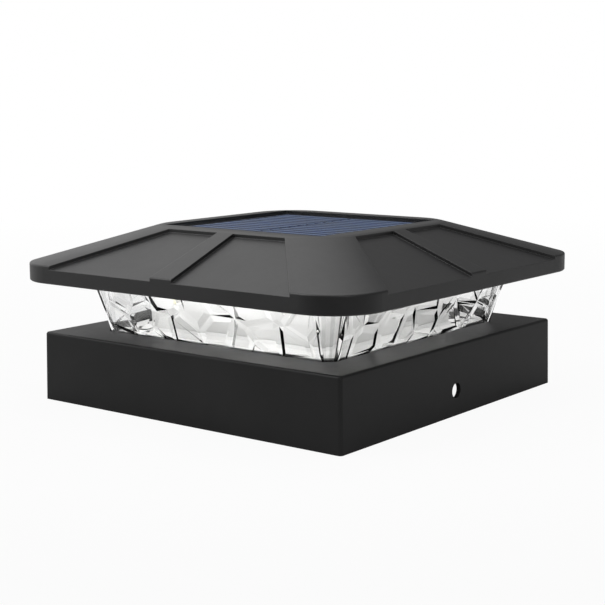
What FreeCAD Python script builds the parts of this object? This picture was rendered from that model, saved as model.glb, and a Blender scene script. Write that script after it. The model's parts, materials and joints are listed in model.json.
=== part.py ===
import FreeCAD, Part
import math
import os
import random

from FreeCAD import Vector

# Deck post cap light for a nominal six inch timber post. Millimetres, +Z up.
# Origin: centre of the skirt's bottom edge. The faces with the screw holes look along +X and -X.

# --- post socket and base ---
post_width = 139.7
post_clearance = 1.75
skirt_wall = 1.9
skirt_height = 27.4
skirt_draft_deg = 0.9
skirt_corner = 1.3
skirt_edge_round = 1.0
plate_thickness = 2.4
hole_radius = 3.0
hole_height = 9.6
guide_rib_proud = 0.9
guide_rib_width = 1.6
guide_rib_place = 52.0
guide_rib_start = 6.0

# --- lens ring ---
lens_foot_half = 57.0
lens_lean_deg = 18.5
lens_wall = 2.2
lens_corner_foot = 3.7
lens_corner_top = 9.0
lens_corner_swell = 0.6
lens_corner_steps = (0.0, 0.12, 0.4, 1.0)
lens_show_height = 21.3
lens_tuck = 1.9
lens_foot_depth = 0.3
facet_pitch = 10.5
facet_land = 0.3
facet_depth = 0.75
facet_floor_share = 0.4
facet_jitter = 0.3
facet_edge_margin = 1.0

# --- seals ---
seal_thickness = 0.5
roof_seal_thickness = 0.8
seal_side_gap = 0.15

# --- roof ---
rim_half = 83.0
rim_corner = 20.0
rim_height = 7.05
roof_rise = 13.85
shoulder_half = 46.0
shoulder_corner = 19.0
shoulder_round = 8.0
rim_round = 0.8
roof_wall = 2.2
recess_depth = 1.4
recess_band = 1.3
recess_top_reach = 28.9
recess_eave_reach = 59.4
rib_half_top = 3.9
rib_half_eave = 5.3
gusset_thickness = 1.6
gusset_pitch = 24.0
gusset_pairs = 2
gusset_lift = 5.3
socket_wall = 1.8
socket_gap = 0.35
socket_rise = 0.5
ledge_thickness = 1.8
ledge_width = 6.5

# --- solar panel ---
pocket_half = 39.2
pocket_corner = 1.5
panel_gap = 0.3
panel_sink = 0.4
panel_board_thickness = 1.0
cell_thickness = 0.3
cover_skin = 0.9
adhesive_thickness = 0.4
adhesive_width = 3.0
adhesive_inset = 2.2
pocket_wall = 2.0
cell_rows = 12
cell_row_gap = 0.5
cell_column_gap = 1.4
cell_margin = 4.2
cell_tab_margin = 6.4

# --- reflector and lamps ---
reflector_half = 43.0
reflector_wall = 1.6
reflector_corner = 3.0
reflector_flange = 1.2
reflector_flange_reach = 61.0
lamp_count = 3
lamp_pitch = 26.0
lamp_height = 42.0
lamp_window_width = 7.0
lamp_window_height = 5.0
led_board_length = 73.0
led_board_height = 9.0
led_board_thickness = 1.0
led_width = 3.5
led_height = 2.8
led_thickness = 0.9

# --- battery and its holder ---
battery_radius = 7.1
battery_length = 50.0
battery_nub_radius = 2.6
battery_nub_length = 1.2
battery_edge = 0.7
battery_y = -17.0
battery_clearance = 0.4
battery_lift = 0.7
contact_space = 2.6
contact_thickness = 0.4
contact_width = 8.0
contact_tab_width = 4.0
contact_tab_rise = 2.6
holder_wall = 1.4
holder_flange = 1.6
holder_flange_overlap = 2.0

# --- battery lid ---
lid_thickness = 1.6
lid_gap = 0.3
lid_side_lap = 2.9
lid_end_lap = 8.9
lid_corner = 3.0
lid_seal_inset = 0.9
lid_seal_width = 1.5
lid_travel_gap = 0.3

# --- switch ---
switch_y = 14.0
switch_travel = 4.0
switch_gap = 0.3
knob_length = 3.6
knob_width = 2.8
knob_inset = 1.2
knob_groove = 0.3
well_length = 18.0
well_width = 11.0
well_wall = 1.6
well_depth = 5.8
well_ceiling = 1.4
slider_length = 5.2
slider_width = 4.2
slider_height = 1.6
switch_height = 4.2
switch_wall = 1.0

# --- control board ---
board_length = 50.0
board_width = 24.0
board_thickness = 1.6
board_y = 16.0
standoff_radius = 2.6
standoff_x = 21.0
standoff_y = 24.0
can_radius = 3.2
can_height = 7.5
core_flange_radius = 3.6
core_waist_radius = 2.6
core_height = 5.0
chip_length = 5.0
chip_width = 4.0
chip_height = 1.5

# --- screws and bosses ---
screw_radius = 1.45
screw_hole_gap = 0.05
screw_head_radius = 2.7
screw_head_height = 1.9
screw_clear_radius = 1.65
post_place = 34.5
post_radius = 4.2
post_meet_height = 46.0
post_head_depth = 5.0
counterbore_radius = 3.2
screw_grip = 9.0
lid_screw_radius = 1.15
lid_screw_gap = 0.1
lid_screw_head_radius = 2.2
lid_screw_head_height = 1.0
lid_screw_boss_radius = 2.8
lid_screw_length = 7.0
board_screw_radius = 1.15
board_screw_length = 6.0
cross_width = 0.8
cross_depth = 0.8

# --- wires ---
wire_radius = 0.6
wire_bend = 3.0
jumper_radius = 0.45
panel_wire_x = 3.0
panel_wire_y = 30.0
panel_wire_hole = 1.4

# --- how far a straight outline's length may differ from its corners' ---
straight_tolerance = 1e-6

# --- heights and widths worked out from the values above ---
skirt_half_top = post_width / 2 + post_clearance + skirt_wall
skirt_slope = math.tan(math.radians(skirt_draft_deg))
skirt_half_foot = skirt_half_top + skirt_height * skirt_slope
socket_half_top = skirt_half_top - skirt_wall
plate_low = skirt_height - plate_thickness
lens_slope = math.tan(math.radians(lens_lean_deg))
lens_low = skirt_height - lens_foot_depth
rim_low = skirt_height + lens_show_height
lens_high = rim_low + lens_tuck
groove_floor = lens_low - seal_thickness
rim_high = rim_low + rim_height
roof_high = rim_high + roof_rise
roof_slope = roof_rise / (rim_half - shoulder_half)
ledge_low = lens_high + roof_seal_thickness
panel_top = roof_high - panel_sink
board_panel_low = panel_top - cover_skin - cell_thickness - panel_board_thickness
pocket_floor = board_panel_low - adhesive_thickness
pocket_under = pocket_floor - pocket_wall
panel_half = pocket_half - panel_gap
battery_z = skirt_height + battery_lift + battery_radius
cavity_half_length = battery_length / 2 + contact_space
cavity_half_width = battery_radius + battery_clearance
holder_high = battery_z + battery_radius + battery_clearance + holder_wall
well_ceiling_low = plate_low + well_depth
well_high = well_ceiling_low + well_ceiling
board_low = well_high + switch_height
board_high = board_low + board_thickness
lid_half_length = cavity_half_length + lid_end_lap
lid_half_width = cavity_half_width + lid_side_lap
lid_high = plate_low + lid_thickness
lid_screw_x = cavity_half_length + holder_wall + lid_screw_boss_radius + lid_gap
reflector_inner = reflector_half - reflector_wall
screw_seat = post_meet_height - post_head_depth


def turned(shape, quarter):
    """A copy turned about the post's axis by whole quarter turns."""
    copy = shape.copy()
    copy.rotate(Vector(0, 0, 0), Vector(0, 0, 1), 90 * quarter)
    return copy


def block(x_low, x_high, y_low, y_high, z_low, z_high):
    corner = Vector(x_low, y_low, z_low)
    return Part.makeBox(x_high - x_low, y_high - y_low, z_high - z_low, corner)


def rod(x, y, z_low, z_high, radius):
    return Part.makeCylinder(radius, z_high - z_low, Vector(x, y, z_low))


def rounded_outline(half_x, half_y, corner, z, x=0, y=0):
    """Closed wire of a rectangle with rounded corners at height z."""
    flat_x = half_x - corner
    flat_y = half_y - corner
    tip = corner * math.sqrt(0.5)
    edges = []
    last = Vector(x + half_x, y - flat_y, z)
    for sign_x, sign_y in ((1, 1), (-1, 1), (-1, -1), (1, -1)):
        on_x = Vector(x + sign_x * half_x, y + sign_y * flat_y, z)
        on_y = Vector(x + sign_x * flat_x, y + sign_y * half_y, z)
        middle = Vector(x + sign_x * (flat_x + tip), y + sign_y * (flat_y + tip), z)
        first, second = (on_x, on_y) if sign_x == sign_y else (on_y, on_x)
        edges.append(Part.LineSegment(last, first).toShape())
        edges.append(Part.Arc(first, middle, second).toShape())
        last = second
    return Part.Wire(edges)


def rounded_square(half, corner, z):
    return rounded_outline(half, half, corner, z)


def chamfered_square(half, leg, z):
    """Closed wire of a square whose corners are cut off at 45 degrees."""
    points = []
    for quarter in range(4):
        angle = math.radians(90 * quarter)
        for side in (-1, 1):
            across = side * (half - leg)
            x = half * math.cos(angle) - across * math.sin(angle)
            y = half * math.sin(angle) + across * math.cos(angle)
            points.append(Vector(x, y, z))
    return Part.makePolygon(points + points[:1])


def plate(wire, thickness):
    return Part.Face(wire).extrude(Vector(0, 0, thickness))


def ruled(wires):
    """Solid between outlines of matching edges, in which each straight-edged side is a true plane."""
    faces = []
    for face in Part.makeLoft(wires, True, True).Faces:
        corners = [vertex.Point for vertex in face.OuterWire.OrderedVertexes]
        outline = Part.makePolygon(corners + corners[:1])
        straight = face.OuterWire.Length - outline.Length < straight_tolerance
        faces.append(Part.Face(outline) if straight else face)
    shell = Part.makeShell(faces)
    shell.sewShape()
    return Part.makeSolid(shell)


def edges_at(shape, z, reach):
    """The edges of a shape that lie level at height z and outside a square of this half width."""
    found = []
    for edge in shape.Edges:
        box = edge.BoundBox
        far = max(abs(box.XMin), abs(box.XMax), abs(box.YMin), abs(box.YMax))
        if abs(box.ZMin - z) < 0.01 and abs(box.ZMax - z) < 0.01 and far > reach:
            found.append(edge)
    return found


def fused(first, others):
    return first.fuse(others).removeSplitter()


# --- base ---

def skirt_half_at(z):
    return skirt_half_foot - z * skirt_slope


def switch_well():
    """The sunken pocket that keeps the switch knob above the post's end."""
    half_x = well_length / 2 + well_wall
    half_y = well_width / 2 + well_wall
    return block(-half_x, half_x, switch_y - half_y, switch_y + half_y, plate_low, well_high)


def switch_well_hollow():
    half_x = well_length / 2
    half_y = well_width / 2
    low = plate_low - 1
    hollow = block(-half_x, half_x, switch_y - half_y, switch_y + half_y, low, well_ceiling_low)
    slot_x = (knob_length + switch_travel) / 2 + switch_gap
    slot_y = knob_width / 2 + switch_gap
    slot = block(-slot_x, slot_x, switch_y - slot_y, switch_y + slot_y, low, well_high + 1)
    return hollow.fuse(slot)


def guide_ribs():
    """Tapered ribs inside the skirt that centre the cap on the post."""
    ribs = []
    outer = socket_half_top + guide_rib_start * skirt_slope + skirt_wall / 2
    inner = socket_half_top - guide_rib_proud
    for quarter in range(4):
        for side in (-1, 1):
            y_low = side * guide_rib_place - guide_rib_width / 2
            points = [
                Vector(outer, y_low, guide_rib_start),
                Vector(inner, y_low, guide_rib_start + outer - inner),
                Vector(inner, y_low, plate_low + plate_thickness / 2),
                Vector(outer, y_low, plate_low + plate_thickness / 2),
            ]
            face = Part.Face(Part.makePolygon(points + points[:1]))
            ribs.append(turned(face.extrude(Vector(0, guide_rib_width, 0)), quarter))
    return ribs


def post_centres():
    return [(sx * post_place, sy * post_place) for sx in (-1, 1) for sy in (-1, 1)]


def lens_half_at(z):
    return lens_foot_half + (z - skirt_height) * lens_slope


def lens_leg_at(z):
    """Leg of the lens's cut corner, which widens fast above the foot and then slower."""
    share = max(0, (z - skirt_height) / (lens_high - skirt_height))
    return lens_corner_foot + share ** lens_corner_swell * (lens_corner_top - lens_corner_foot)


def wall_leg(leg, inset):
    """Corner leg of an outline drawn inside another at an even wall distance."""
    return leg - inset * (2 - math.sqrt(2))


def lens_band(z_low, z_high, gap_out, gap_in):
    """Straight square ring over the lens foot's footprint, widened by the two gaps."""
    outer_half = lens_foot_half + gap_out
    inner_half = lens_foot_half - lens_wall - gap_in
    outer = plate(chamfered_square(outer_half, lens_corner_foot, z_low), z_high - z_low)
    inner_leg = wall_leg(lens_corner_foot, lens_wall)
    inner = plate(chamfered_square(inner_half, inner_leg, z_low - 1), z_high - z_low + 2)
    return outer.cut(inner)


def base_sleeve():
    outer = ruled([
        rounded_square(skirt_half_foot, skirt_corner, 0),
        rounded_square(skirt_half_top, skirt_corner, skirt_height),
    ])
    outer = outer.makeFillet(skirt_edge_round, edges_at(outer, skirt_height, 0))
    inner_corner = max(skirt_corner - skirt_wall / 2, 0.5)
    reach = skirt_wall
    inner = ruled([
        rounded_square(skirt_half_at(-reach) - skirt_wall, inner_corner, -reach),
        rounded_square(skirt_half_at(plate_low) - skirt_wall, inner_corner, plate_low),
    ])
    body = outer.cut(inner)
    posts = [rod(x, y, plate_low, post_meet_height, post_radius) for x, y in post_centres()]
    standoffs = []
    for side in (-1, 1):
        standoffs.append(rod(side * standoff_x, standoff_y, plate_low, board_low, standoff_radius))
    body = fused(body, guide_ribs() + posts + standoffs + [switch_well()])
    cuts = [switch_well_hollow(), lens_band(groove_floor, skirt_height + 1, seal_side_gap, seal_side_gap)]
    for x, y in post_centres():
        cuts.append(rod(x, y, plate_low - 1, screw_seat, counterbore_radius))
        cuts.append(rod(x, y, screw_seat - 1, post_meet_height + 1, screw_clear_radius))
    for side in (-1, 1):
        top = board_low + 1
        low = board_low - board_screw_length
        radius = board_screw_radius + screw_hole_gap
        cuts.append(rod(side * standoff_x, standoff_y, low, top, radius))
    lid_hole = rounded_outline(
        lid_half_length + lid_gap, lid_half_width + lid_gap, lid_corner + lid_gap, plate_low - 1, 0, battery_y)
    cuts.append(plate(lid_hole, plate_thickness + 2))
    across = 2 * skirt_half_foot + 2
    start = Vector(-across / 2, 0, hole_height)
    cuts.append(Part.makeCylinder(hole_radius, across, start, Vector(1, 0, 0)))
    return body.cut(cuts)


def lens_seal():
    return lens_band(groove_floor, lens_low, 0, 0)


# --- lens ---

def clipped(polygon, normal_x, normal_y, limit):
    """The part of a plane polygon where normal . point is below the limit."""
    kept = []
    for index, (x, y) in enumerate(polygon):
        last_x, last_y = polygon[index - 1]
        here = normal_x * x + normal_y * y - limit
        there = normal_x * last_x + normal_y * last_y - limit
        if (here < 0) != (there < 0):
            share = there / (there - here)
            kept.append((last_x + share * (x - last_x), last_y + share * (y - last_y)))
        if here < 0:
            kept.append((x, y))
    return kept


def facet_cells(panel, length, height, seed):
    """Irregular cells of a cut-glass pattern: each is the part of the panel nearest its own centre."""
    chance = random.Random(seed)
    columns = max(2, round(length / facet_pitch))
    rows = max(1, round(height / (facet_pitch * math.sqrt(0.75))))
    centres = []
    for row in range(rows):
        for column in range(-1, columns + 1):
            shift = 0.25 if row % 2 else -0.25
            x = (column + 0.5 + shift + facet_jitter * chance.uniform(-1, 1)) / columns - 0.5
            y = (row + 0.5 + facet_jitter * chance.uniform(-1, 1)) / rows
            centres.append((x * length, y * height))
    cells = []
    for x, y in centres:
        cell = panel
        for other_x, other_y in centres:
            apart = math.hypot(other_x - x, other_y - y)
            if apart == 0:
                continue
            normal_x = (other_x - x) / apart
            normal_y = (other_y - y) / apart
            limit = normal_x * (x + other_x) / 2 + normal_y * (y + other_y) / 2 - facet_land / 2
            cell = clipped(cell, normal_x, normal_y, limit) if cell else cell
        if len(cell) > 2:
            cells.append(cell)
    return cells


def polygon_size(polygon):
    """Centre and area of a plane polygon."""
    area = 0
    centre_x = 0
    centre_y = 0
    for index, (x, y) in enumerate(polygon):
        last_x, last_y = polygon[index - 1]
        cross = last_x * y - x * last_y
        area += cross / 2
        centre_x += (last_x + x) * cross / 6
        centre_y += (last_y + y) * cross / 6
    return centre_x / area, centre_y / area, abs(area)


def facet_cutter(cell, place):
    """A shallow dish with a flat floor, laid out in the plane of the lens's inner face."""
    centre_x, centre_y, area = polygon_size(cell)
    depth = facet_depth * min(1, math.sqrt(area) / (0.7 * facet_pitch))
    proud = 0.02
    wires = []
    for share, level in ((1, -proud), (facet_floor_share, depth)):
        points = []
        for x, y in cell:
            at = (centre_x + share * (x - centre_x), centre_y + share * (y - centre_y))
            points.append(place(at[0], at[1], level))
        wires.append(Part.makePolygon(points + points[:1]))
    return ruled(wires)


def facet_cutters(quarter):
    """The dishes of one inner face of the lens."""
    cos_lean = math.cos(math.radians(lens_lean_deg))
    sin_lean = math.sin(math.radians(lens_lean_deg))
    foot_z = skirt_height
    foot_y = lens_half_at(foot_z) - lens_wall
    height = (rim_low - foot_z) / cos_lean

    def place(along, up, level):
        out = foot_y + up * sin_lean + level * cos_lean
        return Vector(along, -out, foot_z + up * cos_lean - level * sin_lean)

    def reach(z):
        leg = wall_leg(lens_leg_at(z), lens_wall)
        return lens_half_at(z) - lens_wall - leg - facet_edge_margin

    low = facet_edge_margin
    high = height
    low_reach = reach(foot_z + low * cos_lean)
    high_reach = reach(foot_z + high * cos_lean)
    panel = [(-low_reach, low), (low_reach, low), (high_reach, high), (-high_reach, high)]
    cells = facet_cells(panel, 2 * high_reach, height, quarter + 1)
    cutters = []
    for cell in cells:
        if polygon_size(cell)[2] > facet_pitch:
            cutters.append(turned(facet_cutter(cell, place), quarter))
    return cutters


def lens_shell(inset):
    wires = []
    for share in lens_corner_steps:
        z = lens_low + share * (lens_high - lens_low)
        leg = wall_leg(lens_leg_at(z), inset)
        wires.append(chamfered_square(lens_half_at(z) - inset, leg, z))
    return ruled(wires)


def lens_ring():
    ring = lens_shell(0).cut(lens_shell(lens_wall))
    for quarter in range(4):
        ring = ring.cut(facet_cutters(quarter))
    return ring


# --- roof ---

def roof_height_at(reach):
    return rim_high - (reach - rim_half) * roof_slope


def roof_form():
    form = ruled([
        rounded_square(rim_half, rim_corner, rim_low),
        rounded_square(rim_half, rim_corner, rim_high),
        rounded_square(shoulder_half, shoulder_corner, roof_high),
    ])
    form = form.makeFillet(shoulder_round, edges_at(form, roof_high, 0))
    form = form.makeFillet(rim_round, edges_at(form, rim_high, 0))
    return form.makeChamfer(rim_round / 2, edges_at(form, rim_low, 0))


def panel_recess(side):
    """Cutter for one sunken panel on the -Y slope, open at the eave."""
    reach_top = shoulder_half + recess_band
    reach_eave = rim_half + rim_height
    span = rim_half - reach_top
    hip_spread = (recess_eave_reach - recess_top_reach) / span
    rib_spread = (rib_half_eave - rib_half_top) / span
    points = []
    for reach, start, spread in (
        (reach_top, rib_half_top, rib_spread),
        (reach_eave, rib_half_top, rib_spread),
        (reach_eave, recess_top_reach, hip_spread),
        (reach_top, recess_top_reach, hip_spread),
    ):
        x = side * (start + (reach - reach_top) * spread)
        points.append(Vector(x, -reach, roof_height_at(reach) - recess_depth))
    face = Part.Face(Part.makePolygon(points + points[:1]))
    return face.extrude(Vector(0, 0, roof_rise + rim_height))


def roof_hollow():
    """The open inside of the roof, up to its sloping underside and the panel pocket's box."""
    inner_half = rim_half - roof_wall
    drop = roof_wall / math.cos(math.atan(roof_slope)) + recess_depth / 2
    ceiling = roof_high - drop
    eave = roof_height_at(inner_half) - drop
    hollow = ruled([
        rounded_square(inner_half, rim_corner - roof_wall, rim_low - 1),
        rounded_square(inner_half, rim_corner - roof_wall, eave),
        rounded_square(shoulder_half, shoulder_corner, ceiling),
    ])
    pocket_box = pocket_half + pocket_wall
    keep = block(-pocket_box, pocket_box, -pocket_box, pocket_box, pocket_under, roof_high)
    return hollow.cut(keep)


def socket_half():
    return lens_half_at(lens_high) + socket_gap


def lens_socket(hollow):
    """Square wall and ledge under the roof that take the top of the lens."""
    low = rim_low + socket_rise
    half = socket_half()
    height = roof_high - low
    leg = lens_corner_top
    outer_leg = leg + socket_wall * (2 - math.sqrt(2))
    wall = plate(chamfered_square(half + socket_wall, outer_leg, low), height)
    wall = wall.cut(plate(chamfered_square(half, leg, low - 1), height + 2))
    ledge = plate(chamfered_square(half + socket_wall / 2, leg, ledge_low), ledge_thickness)
    mouth = plate(chamfered_square(half - ledge_width, wall_leg(leg, ledge_width), ledge_low - 1), height)
    return [hollow.common(wall), ledge.cut(mouth)]


def gussets(hollow):
    """Stiffening webs between the lens socket and the rim."""
    webs = []
    inner = socket_half() + socket_wall / 2
    outer = rim_half - roof_wall / 2
    low = rim_low + gusset_lift
    for quarter in range(4):
        for index in range(-gusset_pairs, gusset_pairs + 1):
            x = index * gusset_pitch
            half = gusset_thickness / 2
            web = block(x - half, x + half, -outer, -inner, low, roof_high)
            webs.append(hollow.common(turned(web, quarter)))
    return webs


def roof_cover():
    form = roof_form()
    pocket = plate(rounded_square(pocket_half, pocket_corner, pocket_floor), roof_high)
    cuts = [pocket]
    for quarter in range(4):
        for side in (-1, 1):
            cuts.append(turned(panel_recess(side), quarter))
    hollow = roof_hollow()
    cover = form.cut(cuts).cut(hollow)
    bosses = [rod(x, y, post_meet_height, pocket_under + pocket_wall / 2, post_radius) for x, y in post_centres()]
    cover = fused(cover, lens_socket(hollow) + gussets(hollow) + bosses)
    holes = []
    for x, y in post_centres():
        radius = screw_radius + screw_hole_gap
        holes.append(rod(x, y, post_meet_height - 1, post_meet_height + screw_grip + 1, radius))
    for side in (-1, 1):
        holes.append(rod(side * panel_wire_x, panel_wire_y, pocket_under - 1, pocket_floor + 1, panel_wire_hole))
    return cover.cut(holes)


def roof_seal():
    high = lens_half_at(lens_high)
    outer = plate(chamfered_square(high, lens_corner_top, lens_high), roof_seal_thickness)
    inner_leg = wall_leg(lens_corner_top, lens_wall)
    inner = plate(chamfered_square(high - lens_wall, inner_leg, lens_high - 1), roof_seal_thickness + 2)
    return outer.cut(inner)


# --- solar panel ---

def panel_adhesive():
    half = panel_half - adhesive_inset
    outer = plate(rounded_square(half, pocket_corner, pocket_floor), adhesive_thickness)
    inner = rounded_square(half - adhesive_width, pocket_corner, pocket_floor - 1)
    return outer.cut(plate(inner, adhesive_thickness + 2))


def panel_board():
    return plate(rounded_square(panel_half, pocket_corner, board_panel_low), panel_board_thickness)


def solar_cells():
    """Two columns of strip cells, with the wider margin for the solder tabs on the +X side."""
    z = board_panel_low + panel_board_thickness
    y_low = -panel_half + cell_margin
    pitch = (2 * panel_half - 2 * cell_margin) / cell_rows
    columns = (
        (-panel_half + cell_margin, -cell_column_gap / 2),
        (cell_column_gap / 2, panel_half - cell_tab_margin),
    )
    cells = []
    for x_low, x_high in columns:
        for row in range(cell_rows):
            low = y_low + row * pitch + cell_row_gap / 2
            high = low + pitch - cell_row_gap
            cells.append(block(x_low, x_high, low, high, z, z + cell_thickness))
    return Part.makeCompound(cells)


def panel_cover():
    low = board_panel_low + panel_board_thickness
    cover = plate(rounded_square(panel_half, pocket_corner, low), panel_top - low)
    return cover.cut(solar_cells().Solids)


# --- reflector and lamps ---

def lamp_places():
    first = -(lamp_count - 1) / 2
    return [(first + index) * lamp_pitch for index in range(lamp_count)]


def inner_reflector():
    """White box that carries the lamps, with a flange that closes the light gap at the top."""
    high = ledge_low
    outer = plate(rounded_square(reflector_half, reflector_corner, skirt_height), high - skirt_height)
    flange_low = high - reflector_flange
    flange = plate(chamfered_square(reflector_flange_reach, lens_corner_top, flange_low), reflector_flange)
    inner_corner = reflector_corner - reflector_wall
    inner = rounded_square(reflector_inner, inner_corner, skirt_height - 1)
    box = fused(outer, [flange]).cut(plate(inner, high - skirt_height + 2))
    windows = []
    half_w = lamp_window_width / 2
    low = lamp_height - lamp_window_height / 2
    for quarter in range(4):
        for x in lamp_places():
            window = block(x - half_w, x + half_w, -reflector_half - 1, -reflector_inner + 1,
                           low, low + lamp_window_height)
            windows.append(turned(window, quarter))
    return box.cut(windows)


def led_board(quarter):
    half = led_board_length / 2
    outer = -reflector_inner
    low = lamp_height - led_board_height / 2
    board = block(-half, half, outer, outer + led_board_thickness, low, low + led_board_height)
    return turned(board, quarter)


def led_chips(quarter):
    """The lamps of one side: a squat package with a sloped dome each."""
    chips = []
    outer = -reflector_inner
    for x in lamp_places():
        chip = block(x - led_width / 2, x + led_width / 2, outer - led_thickness, outer,
                     lamp_height - led_height / 2, lamp_height + led_height / 2)
        front = [edge for edge in chip.Edges if edge.BoundBox.YMax < outer - led_thickness / 2]
        chips.append(chip.makeChamfer(led_thickness / 4, front))
    return turned(Part.makeCompound(chips), quarter)


# --- battery, holder and lid ---

def battery_cell():
    """Round cell on the X axis with a nub at the +X end."""
    can = battery_length - battery_nub_length
    start = Vector(-battery_length / 2, battery_y, battery_z)
    body = Part.makeCylinder(battery_radius, can, start, Vector(1, 0, 0))
    ends = [edge for edge in body.Edges if edge.BoundBox.XLength < 0.01]
    body = body.makeChamfer(battery_edge, ends)
    nub_start = Vector(battery_length / 2 - battery_nub_length - 1, battery_y, battery_z)
    nub = Part.makeCylinder(battery_nub_radius, battery_nub_length + 1, nub_start, Vector(1, 0, 0))
    return fused(body, [nub])


def battery_holder():
    """Open trough over the lid hole, with end slots for the contacts and a boss for each lid screw."""
    half_x = cavity_half_length + holder_wall
    half_y = cavity_half_width + holder_wall
    low = skirt_height
    trough = block(-half_x, half_x, battery_y - half_y, battery_y + half_y, low, holder_high)
    top = [edge for edge in trough.Edges if edge.BoundBox.ZMin > holder_high - 0.01]
    trough = trough.makeFillet(holder_wall, top)
    reach_x = lid_half_length + lid_gap + holder_flange_overlap
    reach_y = lid_half_width + lid_gap + holder_flange_overlap
    outline = rounded_outline(reach_x, reach_y, lid_corner, low, 0, battery_y)
    bosses = []
    for side in (-1, 1):
        top = low + lid_screw_length + holder_wall
        bosses.append(rod(side * lid_screw_x, battery_y, low, top, lid_screw_boss_radius))
    body = fused(trough, [plate(outline, holder_flange)] + bosses)
    cavity_top = holder_high - holder_wall
    cuts = [block(-cavity_half_length, cavity_half_length, battery_y - cavity_half_width,
                  battery_y + cavity_half_width, low - 1, cavity_top)]
    slot_y = contact_tab_width / 2 + battery_clearance / 2
    for side in (-1, 1):
        inner = side * (cavity_half_length - 2 * contact_thickness)
        outer = side * cavity_half_length
        cuts.append(block(min(inner, outer), max(inner, outer), battery_y - slot_y, battery_y + slot_y,
                          cavity_top - 1, holder_high + 1))
        radius = lid_screw_radius + lid_screw_gap
        cuts.append(rod(side * lid_screw_x, battery_y, low - 1, low + lid_screw_length, radius))
    return body.cut(cuts)


def bent_strip(points, thickness):
    """Section of a bent metal strip that follows a line of points in the XZ plane."""
    middle = Part.makePolygon(points)
    outline = middle.makeOffset2D(thickness / 2, 0, False, False)
    return Part.Face(outline)


def contact(side):
    """Spring contact: a flat back on the holder's end wall and a leaf that bows out to the cell."""
    wall = cavity_half_length - contact_thickness / 2
    touch = battery_length / 2 + contact_thickness / 2
    low = battery_z - battery_radius + battery_clearance
    high = battery_z + battery_radius - battery_clearance
    leaf_points = [
        Vector(side * wall, 0, high),
        Vector(side * wall, 0, low),
        Vector(side * (wall - contact_space / 3), 0, low),
        Vector(side * touch, 0, battery_z - battery_nub_radius / 2),
        Vector(side * touch, 0, battery_z + battery_nub_radius / 2),
        Vector(side * (wall - contact_space / 3), 0, high - battery_nub_radius),
    ]
    leaf = bent_strip(leaf_points, contact_thickness).extrude(Vector(0, contact_width, 0))
    leaf.translate(Vector(0, battery_y - contact_width / 2, 0))
    tab_high = holder_high + contact_tab_rise
    tab_y = contact_tab_width / 2
    face_x = side * (wall - contact_thickness / 2)
    back_x = side * (wall + contact_thickness / 2)
    tab = block(min(face_x, back_x), max(face_x, back_x), battery_y - tab_y, battery_y + tab_y,
                high - 1, tab_high)
    return fused(leaf, [tab])


def battery_lid():
    """Flush lid on the underside, sunk round each screw, with a finger notch at one end."""
    outline = rounded_outline(lid_half_length, lid_half_width, lid_corner, plate_low, 0, battery_y)
    lid = plate(outline, lid_thickness)
    cuts = []
    for side in (-1, 1):
        x = side * lid_screw_x
        cuts.append(rod(x, battery_y, plate_low - 1, lid_high + 1, lid_screw_radius + lid_screw_gap))
        cuts.append(rod(x, battery_y, plate_low - 1, plate_low + lid_screw_head_height, lid_screw_head_radius + lid_gap))
    for index in range(-2, 3):
        x = index * 2 * lid_thickness
        groove_half = lid_half_width / 2
        cuts.append(block(x - lid_thickness / 3, x + lid_thickness / 3, battery_y - groove_half,
                          battery_y + groove_half, plate_low - 1, plate_low + lid_thickness / 3))
    return lid.cut(cuts)


def lid_seal():
    """Flat rubber ring on the lid, just clear of the holder's flange."""
    thickness = skirt_height - lid_travel_gap - lid_high
    half_x = cavity_half_length + lid_seal_inset + lid_seal_width
    half_y = cavity_half_width + lid_seal_inset + lid_seal_width
    outer = plate(rounded_outline(half_x, half_y, lid_corner, lid_high, 0, battery_y), thickness)
    inner_x = half_x - lid_seal_width
    inner_y = half_y - lid_seal_width
    inner = rounded_outline(inner_x, inner_y, lid_corner - lid_seal_width, lid_high - 1, 0, battery_y)
    seal = outer.cut(plate(inner, thickness + 2))
    holes = []
    for side in (-1, 1):
        radius = lid_screw_radius + 2 * lid_screw_gap
        holes.append(rod(side * lid_screw_x, battery_y, lid_high - 1, skirt_height, radius))
    return seal.cut(holes)


def screw(x, y, seat, radius, length, head_radius, head_height, up):
    """Pan head screw with a cross recess. up is 1 where the point is above the head, or else -1."""
    profile = [
        (0, -head_height), (head_radius * 0.6, -head_height), (head_radius, -head_height * 0.35),
        (head_radius, 0), (radius, 0), (radius, length - radius), (radius * 0.35, length), (0, length),
    ]
    points = [Vector(x + across, y, seat + up * along) for across, along in profile]
    face = Part.Face(Part.makePolygon(points + points[:1]))
    solid = face.revolve(Vector(x, y, 0), Vector(0, 0, 1), 360)
    outer = seat - up * (head_height + 1)
    inner = seat - up * (head_height - min(cross_depth, head_height * 0.6))
    arm = head_radius * 0.55
    arms = []
    for half_x, half_y in ((arm, cross_width / 2), (cross_width / 2, arm)):
        arms.append(block(x - half_x, x + half_x, y - half_y, y + half_y, min(outer, inner), max(outer, inner)))
    return solid.cut(arms)


def housing_screws():
    length = post_head_depth + screw_grip
    screws = []
    for x, y in post_centres():
        screws.append(screw(x, y, screw_seat, screw_radius, length, screw_head_radius, screw_head_height, 1))
    return Part.makeCompound(screws)


def lid_screws():
    seat = plate_low + lid_screw_head_height
    length = skirt_height + lid_screw_length - seat - lid_travel_gap
    screws = []
    for side in (-1, 1):
        screws.append(screw(side * lid_screw_x, battery_y, seat, lid_screw_radius, length,
                            lid_screw_head_radius, lid_screw_head_height, 1))
    return Part.makeCompound(screws)


def board_screws():
    screws = []
    length = board_thickness + board_screw_length - 0.5
    for side in (-1, 1):
        screws.append(screw(side * standoff_x, standoff_y, board_high, board_screw_radius, length,
                            lid_screw_head_radius, 1.4, -1))
    return Part.makeCompound(screws)


# --- switch ---

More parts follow.
